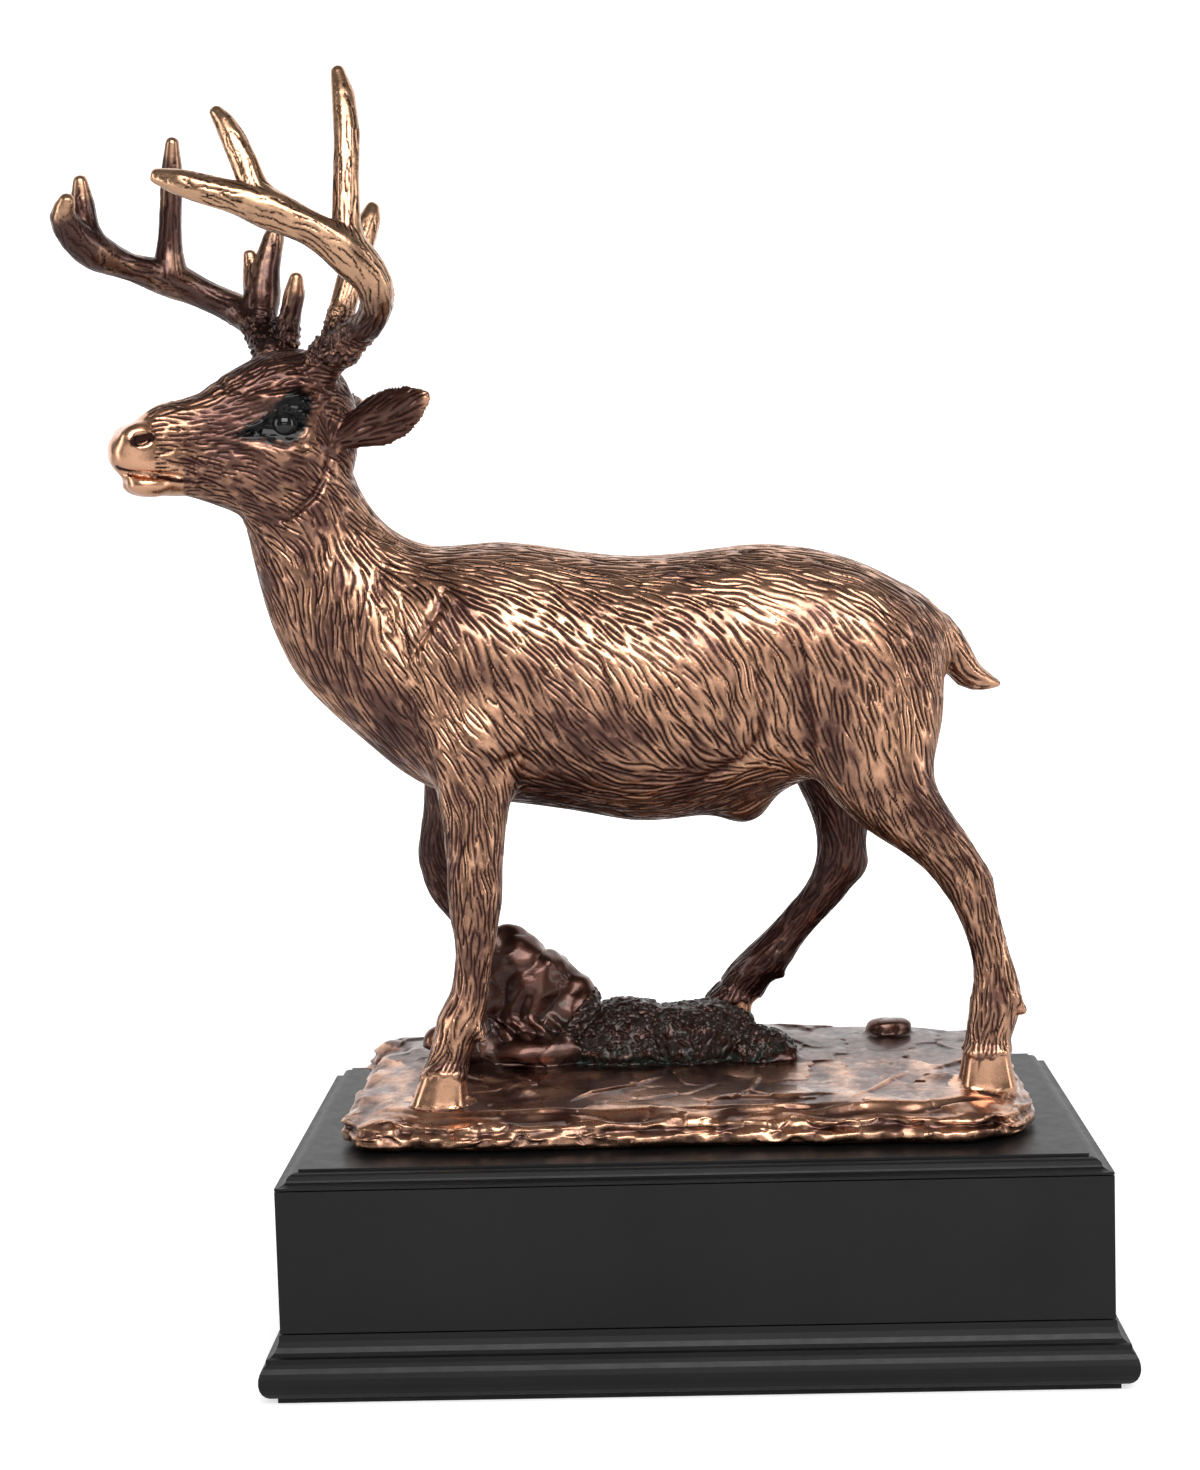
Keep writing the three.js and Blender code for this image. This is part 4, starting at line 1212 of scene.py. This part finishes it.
        # Painted shade darkens the inside of the ear, and a painted highlight brightens its tip where the rim
        # catches the light.
        tarnish_and_shade[ear] = 1.4 - 1.2 * smoothstep(-head[ear, 0], 20, 24)
        stone = np.isin(zones, [Zone.ROCK, Zone.GROUND])
        tarnish_and_shade[stone] = self.stone_tarnish(points[stone])
        tarnish_and_shade[zones == Zone.ROCK] = 1.75
        tarnish_and_shade[(zones == Zone.GROUND) & (z > 10.8)] = 1.6
        tarnish_and_shade[zones == Zone.GRASS] = 1.9
        horn = zones == Zone.ANTLER
        tarnish_and_shade[horn] = self.horn_tarnish_and_shade(points, head, tone)[horn]
        tarnish_and_shade -= np.where(zones == Zone.GROUND, 1.5, 1.0) * np.clip(relief, -0.35, 0.3)
        green = np.where(zones == Zone.GRASS, 0.5 + 0.45 * smoothstep(-z, -17, -12), 0.0)
        green += np.where(stone, 0.34 * smoothstep(waves(points, 18, 66), 0.1, 0.8), 0.0)
        mirrored = np.abs(head * (0, 1, 0)) + head * (1, 0, 1)
        socket = path_gap(mirrored, ((9.4, 11.5, 178.6, 5.0), (6.0, 11.5, 183.5, 3.2)))
        duct = path_gap(mirrored, ((9.4, 11.5, 178.0, 4.6), (19.5, 9.8, 176.4, 1.2)))
        black = 1 - smoothstep(np.minimum(socket, duct) + 0.5 * waves(points, 3, 65), -0.5, 1.6)
        nostril = path_gap(mirrored, ((46.0, 6.6, 175.0, 0.9), (42.0, 7.2, 175.9, 0.8)))
        mouth = path_gap(mirrored, ((49.6, 2.6, 168.8, 0.25), (42.1, 5.0, 166.9, 0.25),
                                    (33.0, 6.2, 164.9, 0.3)))
        groove = np.maximum(groove, 1 - smoothstep(np.minimum(nostril, mouth), 0.1, 0.9))
        return {"groove": groove, "tarnish_and_shade": np.clip(tarnish_and_shade, -0.4, 2), "green": green, "black": black}

    def fur_tarnish_and_shade(self, points: np.ndarray, head: np.ndarray) -> np.ndarray:
        """How dark the fur is: more on the head and the back, with painted shade on the belly, the far legs
        and in the hollows and painted highlights on the swells.

        Args:
            points: The points.
            head: The same points in the head's frame.

        Returns:
            0 for bright copper, 1 for aged and 2 for the darkest.
        """
        x, y, z = points.T
        upper_head = smoothstep(z, 170, 186) * (1 - smoothstep(head[:, 0], 12, 27))
        face = 0.82 + 0.42 * upper_head - 0.5 * smoothstep(head[:, 0], 26, 41)
        to_face = smoothstep(z, 138, 160) * (x < -55)
        tarnish_and_shade = (1 - to_face) * 0.45 + to_face * face
        tarnish_and_shade += 0.2 * waves(points, 34, 60) + 0.12 * waves(points, 10, 61)
        # darker towards the bottom
        tarnish_and_shade += 0.12 * smoothstep(-z, -90, -74)
        # painted shade on the far legs, under the body
        tarnish_and_shade += 1.05 * smoothstep(95 - z, 0, 14) * smoothstep(y, -8, 6)
        tarnish_and_shade += 0.24 * smoothstep(-x, 64, 82) * smoothstep(z, 96, 118) * (1 - to_face)
        tarnish_and_shade += 0.16 * smoothstep(x, 30, 52) * smoothstep(z, 92, 112) + 0.1 * smoothstep(-z, -84, -70)
        # painted shade under the belly
        tarnish_and_shade += 0.35 * smoothstep(-z, -96, -84) * (np.abs(x + 8) < 34)
        # patches of painted shade and painted highlights
        for across, up, wide, tall, darker in PAINTED_SHADE_AND_HIGHLIGHTS:
            tarnish_and_shade += darker * np.exp(-(((x - across) / wide) ** 2) - ((z - up) / tall) ** 2)
        return tarnish_and_shade

    def stone_tarnish(self, points: np.ndarray) -> np.ndarray:
        """How dark the slate is, which is rubbed bright along its edge."""
        edge = np.minimum(85.5 - np.abs(points[:, 0] + 0.9), 43.0 - np.abs(points[:, 1]))
        return 0.66 + 0.12 * smoothstep(edge, 3, 13) + 0.3 * waves(points, 14, 62)

    def horn_tarnish_and_shade(self, points: np.ndarray, head: np.ndarray, tone: np.ndarray) -> np.ndarray:
        """How dark the antlers are: the near one bright, the far one dark with painted shade, both bright at
        the tips.

        Args:
            points: The points.
            head: The same points in the head's frame.
            tone: The tone of the nearest stroke at each point.

        Returns:
            0 for bright and 2 for the darkest, of use on the antlers only.
        """
        root = 1 - smoothstep(points[:, 2], 200, 212)
        near_tip = nearest_gap(points, self.antlers.tips())
        near = 0.14 + 1.1 * root + 0.12 * waves(points, 9, 63) + 0.12 * tone
        near *= 0.25 + 0.75 * smoothstep(near_tip, 3, 14)
        # painted shade: the far antler darker than the near one
        far = 1.35 + 0.2 * root + 0.3 * waves(points, 12, 64) + 0.2 * tone
        far *= 0.35 + 0.65 * smoothstep(near_tip, 1, 8)
        return np.where(head[:, 1] < 0, far, near)


class Shade:
    """Adds shader nodes to a tree and joins them."""

    def __init__(self, tree: bpy.types.NodeTree) -> None:
        """Keeps the tree."""
        self.tree = tree

    def node(self, kind: str, inputs: dict | None = None, **settings: object) -> bpy.types.Node:
        """Adds a node.

        Args:
            kind: The node's type.
            inputs: Values or sockets by the name or number of the input.
            settings: The node's own settings.

        Returns:
            The node.
        """
        made = self.tree.nodes.new(kind)
        for name, value in settings.items():
            setattr(made, name, value)
        for name, value in (inputs or {}).items():
            if isinstance(value, bpy.types.NodeSocket):
                self.tree.links.new(value, made.inputs[name])
            else:
                made.inputs[name].default_value = value
        return made

    def mix(self, share: object, first: object, second: object, blend: str = "MIX") -> bpy.types.NodeSocket:
        """A blend of two colours."""
        made = self.node("ShaderNodeMix", {0: share, 6: first, 7: second}, data_type="RGBA", blend_type=blend)
        return made.outputs[2]

    def maths(self, operation: str, first: object, second: object = 0.0,
              clamp: bool = False) -> bpy.types.NodeSocket:
        """The result of a sum on one or two values."""
        made = self.node("ShaderNodeMath", {0: first, 1: second}, operation=operation, use_clamp=clamp)
        return made.outputs[0]

    def spread(self, value: object, low: float, high: float, to_low: float,
               to_high: float) -> bpy.types.NodeSocket:
        """A value carried from one range to another."""
        made = self.node("ShaderNodeMapRange", {0: value, 1: low, 2: high, 3: to_low, 4: to_high})
        return made.outputs[0]

    def noise(self, scale: float, detail: float = 3.0, rough: float = 0.5) -> bpy.types.NodeSocket:
        """Noise on the object's own coordinates."""
        place = self.node("ShaderNodeTexCoord").outputs["Object"]
        made = self.node("ShaderNodeTexNoise", {
            "Vector": place, "Scale": scale, "Detail": detail, "Roughness": rough})
        return made.outputs["Fac"]

    def mark(self, name: str) -> bpy.types.NodeSocket:
        """A mask that the mesh carries."""
        return self.node("ShaderNodeAttribute", attribute_name=name).outputs["Fac"]


def rgba(red: float, green: float, blue: float) -> tuple[float, float, float, float]:
    """A solid colour."""
    return red, green, blue, 1.0


def plating_group() -> bpy.types.NodeTree:
    """Copper that shines on the lands and is dark in the grooves, with painted places.

    Returns:
        A group that puts out the colour, metal share, roughness, grain height and lacquer share.
    """
    tree = bpy.data.node_groups.new("aged_plating", "ShaderNodeTree")
    sockets = tree.interface
    for name, default in (("Groove", 0.0), ("Tarnish_and_shade", 0.3), ("Green", 0.0), ("Black", 0.0)):
        socket = sockets.new_socket(name=name, in_out="INPUT", socket_type="NodeSocketFloat")
        socket.default_value = default
    for name, default in (("Bright", rgba(0.8, 0.42, 0.25)), ("Aged", rgba(0.2, 0.07, 0.05)),
                          ("Deep", rgba(0.03, 0.012, 0.01))):
        socket = sockets.new_socket(name=name, in_out="INPUT", socket_type="NodeSocketColor")
        socket.default_value = default
    sockets.new_socket(name="Color", in_out="OUTPUT", socket_type="NodeSocketColor")
    for name in ("Metal", "Roughness", "Height", "Gloss"):
        sockets.new_socket(name=name, in_out="OUTPUT", socket_type="NodeSocketFloat")
    shade = Shade(tree)
    given = shade.node("NodeGroupInput").outputs
    cloud = shade.noise(55, 4, 0.6)
    fine = shade.noise(420, 3, 0.6)
    speckle = shade.noise(1500, 2, 0.7)
    # The tarnish input carries the patina together with painted shade and painted highlights, and uneven and
    # worn carry them into the copper's colour.
    uneven = shade.maths("ADD", given["Tarnish_and_shade"], shade.spread(cloud, 0.3, 0.7, -0.25, 0.25))
    uneven = shade.maths("ADD", uneven, shade.spread(fine, 0.35, 0.65, -0.14, 0.14))
    worn = shade.spread(uneven, 0, 1, 0, 1)
    land = shade.mix(worn, given["Bright"], given["Aged"])
    land = shade.mix(shade.spread(uneven, 1, 2, 0, 1), land, given["Deep"])
    groove = shade.spread(given["Groove"], 0.12, 0.75, 0.0, 1.0)
    colour = shade.mix(groove, land, given["Deep"])
    green_share = shade.maths("MULTIPLY", given["Green"], shade.spread(fine, 0.4, 0.55, 0.2, 1.0), clamp=True)
    colour = shade.mix(green_share, colour, rgba(0.007, 0.013, 0.009))
    colour = shade.mix(given["Black"], colour, rgba(0.002, 0.002, 0.0025))
    metal = shade.maths("SUBTRACT", 1.0, shade.maths("MULTIPLY", groove, 0.15))
    metal = shade.maths("SUBTRACT", metal, green_share, clamp=True)
    rough = shade.maths("ADD", shade.spread(fine, 0.3, 0.7, 0.2, 0.34), shade.maths("MULTIPLY", worn, 0.08))
    dull = shade.maths("MAXIMUM", groove, green_share)
    gloss = shade.maths("SUBTRACT", 1.0, shade.maths("MULTIPLY", dull, 0.85), clamp=True)
    height = shade.maths("ADD", shade.maths("MULTIPLY", fine, 0.6), shade.maths("MULTIPLY", speckle, 0.4))
    shade.node("NodeGroupOutput", {
        "Color": colour, "Metal": metal, "Roughness": rough, "Height": height, "Gloss": gloss})
    return tree


@dataclass(frozen=True)
class PlatedFinish:
    """Copper plating with its dark patina."""

    name: str
    bright: tuple = rgba(0.74, 0.4, 0.245)
    # aged and deep are also the colours that the painted shade darkens the copper to
    aged: tuple = rgba(0.15, 0.068, 0.05)
    deep: tuple = rgba(0.034, 0.012, 0.009)
    coat: float = 0.45
    grain: float = 0.12

    def material(self, group: bpy.types.NodeTree) -> bpy.types.Material:
        """The material, fed by the masks that the mesh carries.

        Args:
            group: The plating's node group.

        Returns:
            The new material.
        """
        made = bpy.data.materials.new(self.name)
        made.use_nodes = True
        made.node_tree.nodes.clear()
        shade = Shade(made.node_tree)
        plated = shade.node("ShaderNodeGroup", node_tree=group)
        for socket in ("Groove", "Tarnish_and_shade", "Green", "Black"):
            shade.tree.links.new(shade.mark(socket.lower()), plated.inputs[socket])
        for socket, colour in (("Bright", self.bright), ("Aged", self.aged), ("Deep", self.deep)):
            plated.inputs[socket].default_value = colour
        bump = shade.node("ShaderNodeBump", {
            "Strength": self.grain, "Distance": 0.0002, "Height": plated.outputs["Height"]})
        coat = shade.maths("MULTIPLY", plated.outputs["Gloss"], self.coat)
        bsdf = shade.node("ShaderNodeBsdfPrincipled", {
            "Base Color": plated.outputs["Color"], "Metallic": plated.outputs["Metal"],
            "Roughness": plated.outputs["Roughness"], "Normal": bump.outputs["Normal"],
            "Specular IOR Level": 0.3, "Coat Weight": coat, "Coat Roughness": 0.12})
        shade.node("ShaderNodeOutputMaterial", {"Surface": bsdf.outputs[0]})
        return made


@dataclass(frozen=True)
class PaintFinish:
    """Satin paint, or felt where it is rough."""

    name: str
    colour: tuple = rgba(0.004, 0.004, 0.0044)
    rough: tuple[float, float] = (0.4, 0.48)
    scale: float = 300.0
    height: float = 0.05
    sheen: float = 0.0
    shine: float = 0.5

    def material(self) -> bpy.types.Material:
        """The material.

        Returns:
            The new material.
        """
        made = bpy.data.materials.new(self.name)
        made.use_nodes = True
        made.node_tree.nodes.clear()
        shade = Shade(made.node_tree)
        grain = shade.noise(self.scale, 3, 0.6)
        broad = shade.noise(self.scale / 12, 2, 0.5)
        lighter = tuple(c * 1.9 for c in self.colour[:3]) + (1.0,)
        colour = shade.mix(shade.spread(broad, 0.35, 0.65, 0, 1), self.colour, lighter)
        rough = shade.spread(grain, 0.3, 0.7, *self.rough)
        bump = shade.node("ShaderNodeBump", {"Strength": self.height, "Distance": 0.0003, "Height": grain})
        bsdf = shade.node("ShaderNodeBsdfPrincipled", {
            "Base Color": colour, "Roughness": rough, "Normal": bump.outputs["Normal"],
            "Sheen Weight": self.sheen, "Specular IOR Level": self.shine})
        shade.node("ShaderNodeOutputMaterial", {"Surface": bsdf.outputs[0]})
        return made


@dataclass(frozen=True)
class Eyes:
    """The glossy black eyes."""

    centre: Point = (9.2, 10.4, 178.4)
    radius: float = 3.35

    def build(self) -> bpy.types.Object:
        """Both eyes as one piece.

        Returns:
            The piece.
        """
        work = bmesh.new()
        for x, y, z in from_head([self.centre, (self.centre[0], -self.centre[1], self.centre[2])]):
            place = Matrix.Translation(Vector((x, y, z + CASTING_Z)) * MM)
            bmesh.ops.create_icosphere(work, subdivisions=4, radius=self.radius * MM, matrix=place)
        mesh = bpy.data.meshes.new("eyes")
        work.to_mesh(mesh)
        work.free()
        mesh.polygons.foreach_set("use_smooth", np.ones(len(mesh.polygons), bool))
        obj = bpy.data.objects.new("eyes", mesh)
        bpy.context.scene.collection.objects.link(obj)
        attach(obj, "root")
        return obj


@dataclass(frozen=True)
class Softbox:
    """A rectangular studio light."""

    name: str
    place: Point
    aim: Point
    size: tuple[float, float]
    power: float

    def build(self) -> bpy.types.Object:
        """The light, turned to its aim.

        Returns:
            The light's object.
        """
        lamp = bpy.data.lights.new(self.name, "AREA")
        lamp.shape = "RECTANGLE"
        lamp.size, lamp.size_y = self.size
        lamp.energy = self.power
        obj = bpy.data.objects.new(self.name, lamp)
        obj.location = self.place
        obj.rotation_euler = (Vector(self.aim) - Vector(self.place)).to_track_quat("-Z", "Y").to_euler()
        bpy.context.scene.collection.objects.link(obj)
        return obj


@dataclass(frozen=True)
class Studio:
    """The pale floor, the soft lights and the camera."""

    camera_at: Point = (-0.0005, -0.650, 0.219)
    yaw: float = 0.031
    pitch: float = 0.1005
    roll: float = -0.0287
    focal_pixels: float = 2550.0
    frame_pixels: float = 1470.0
    ambient: float = 0.13
    floor_glow: float = 0.55
    backdrop_glow: float = 0.9
    lights: tuple[Softbox, ...] = (
        Softbox("key", (0.1, -1.0, 0.95), (0, 0, 0.2), (1.1, 0.65), 13),
        Softbox("left", (-0.95, -0.35, 0.35), (0, 0, 0.2), (0.3, 0.8), 2.2),
        Softbox("right", (0.95, -0.25, 0.4), (0, 0, 0.2), (0.3, 0.8), 2.2),
        Softbox("front", (0.1, -1.3, 0.3), (0, 0, 0.15), (0.9, 0.3), 1.2),
    )

    def camera(self) -> None:
        """The camera that the photograph was measured with."""
        lens = bpy.data.cameras.new("camera")
        lens.sensor_width = 36.0
        lens.lens = 36.0 * self.focal_pixels / self.frame_pixels
        lens.clip_start, lens.clip_end = 0.05, 20
        obj = bpy.data.objects.new("camera", lens)
        turn = Matrix.Rotation(self.yaw, 4, "Z") @ Matrix.Rotation(math.pi / 2 - self.pitch, 4, "X")
        obj.matrix_world = Matrix.Translation(self.camera_at) @ turn @ Matrix.Rotation(self.roll, 4, "Z")
        bpy.context.scene.collection.objects.link(obj)
        bpy.context.scene.camera = obj

    def floor(self) -> None:
        """A pale sweep that rises behind the statue."""
        work = bmesh.new()
        profile = [(-4.0, 0.0), (1.0, 0.0)]
        profile += [(1.0 + math.sin(a), 1.0 - math.cos(a)) for a in (math.pi / 24 * k for k in range(1, 13))]
        profile.append((2.0, 4.0))
        rows = [[work.verts.new((x, y, z)) for x in (-4.0, 4.0)] for y, z in profile]
        for (a, b), (c, d) in zip(rows, rows[1:]):
            work.faces.new((a, b, d, c))
        mesh = bpy.data.meshes.new("floor")
        work.to_mesh(mesh)
        work.free()
        obj = bpy.data.objects.new("floor", mesh)
        bpy.context.scene.collection.objects.link(obj)
        made = bpy.data.materials.new("pale_floor")
        made.use_nodes = True
        made.node_tree.nodes.clear()
        shade = Shade(made.node_tree)
        seen = shade.node("ShaderNodeLightPath").outputs["Is Camera Ray"]
        place = shade.node("ShaderNodeTexCoord").outputs["Object"]
        away = shade.node("ShaderNodeVectorMath", {0: place}, operation="LENGTH").outputs["Value"]
        depth = shade.node("ShaderNodeSeparateXYZ", {0: place}).outputs["Y"]
        in_view = shade.maths("MULTIPLY", seen, shade.spread(away, 0.25, 0.7, self.floor_glow, 1.0))
        glow = shade.maths("MAXIMUM", in_view, shade.spread(depth, 0.5, 1.4, 0.0, self.backdrop_glow))
        bsdf = shade.node("ShaderNodeBsdfPrincipled", {
            "Base Color": rgba(0.8, 0.8, 0.8), "Roughness": 0.9, "Emission Color": rgba(1, 1, 1),
            "Emission Strength": glow})
        shade.node("ShaderNodeOutputMaterial", {"Surface": bsdf.outputs[0]})
        mesh.materials.append(made)

    def world(self) -> None:
        """Even pale light from all round."""
        sky = bpy.data.worlds.new("studio")
        sky.use_nodes = True
        shade = Shade(sky.node_tree)
        sky.node_tree.nodes.clear()
        seen = shade.node("ShaderNodeLightPath").outputs["Is Camera Ray"]
        strength = shade.spread(seen, 0, 1, self.ambient, 1.0)
        ground = shade.node("ShaderNodeBackground", {"Color": rgba(1, 1, 1), "Strength": strength})
        shade.node("ShaderNodeOutputWorld", {"Surface": ground.outputs[0]})
        bpy.context.scene.world = sky

    def build(self) -> None:
        """Sets everything up."""
        self.camera()
        self.floor()
        self.world()
        for light in self.lights:
            light.build()
        view = bpy.context.scene.view_settings
        view.view_transform = "Standard"


def main() -> None:
    """Builds the statue and its studio, piece by piece."""
    logging.basicConfig(level=logging.INFO, format="%(relativeCreated)d ms %(message)s")
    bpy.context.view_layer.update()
    Studio().build()
    group = plating_group()
    plated = PlatedFinish("copper_plating").material(group)
    horn = PlatedFinish("antler_bronze", rgba(0.67, 0.39, 0.235), rgba(0.115, 0.056, 0.044)).material(group)
    for piece in Casting().build():
        piece.data.materials.append(horn if piece.name == "antlers" else plated)
    eyes = Eyes().build()
    eyes.data.materials.append(PaintFinish("eye_gloss", rough=(0.04, 0.07), height=0.0).material())
    paint = PaintFinish("black_satin_paint", rgba(0.0028, 0.0028, 0.0031), shine=0.36).material()
    felt = PaintFinish("felt", rgba(0.012, 0.012, 0.012), (0.9, 1.0), 900, 0.6, 0.4).material()
    dressed = {"plinth_skirt": paint, "plinth_block": paint, "plinth_top": paint, "felt_pad": felt}
    for name, finish in dressed.items():
        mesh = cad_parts[name].data
        mesh.materials.clear()
        mesh.materials.append(finish)
        log.info("dressed %s", name)


if __name__ == "__main__":
    main()
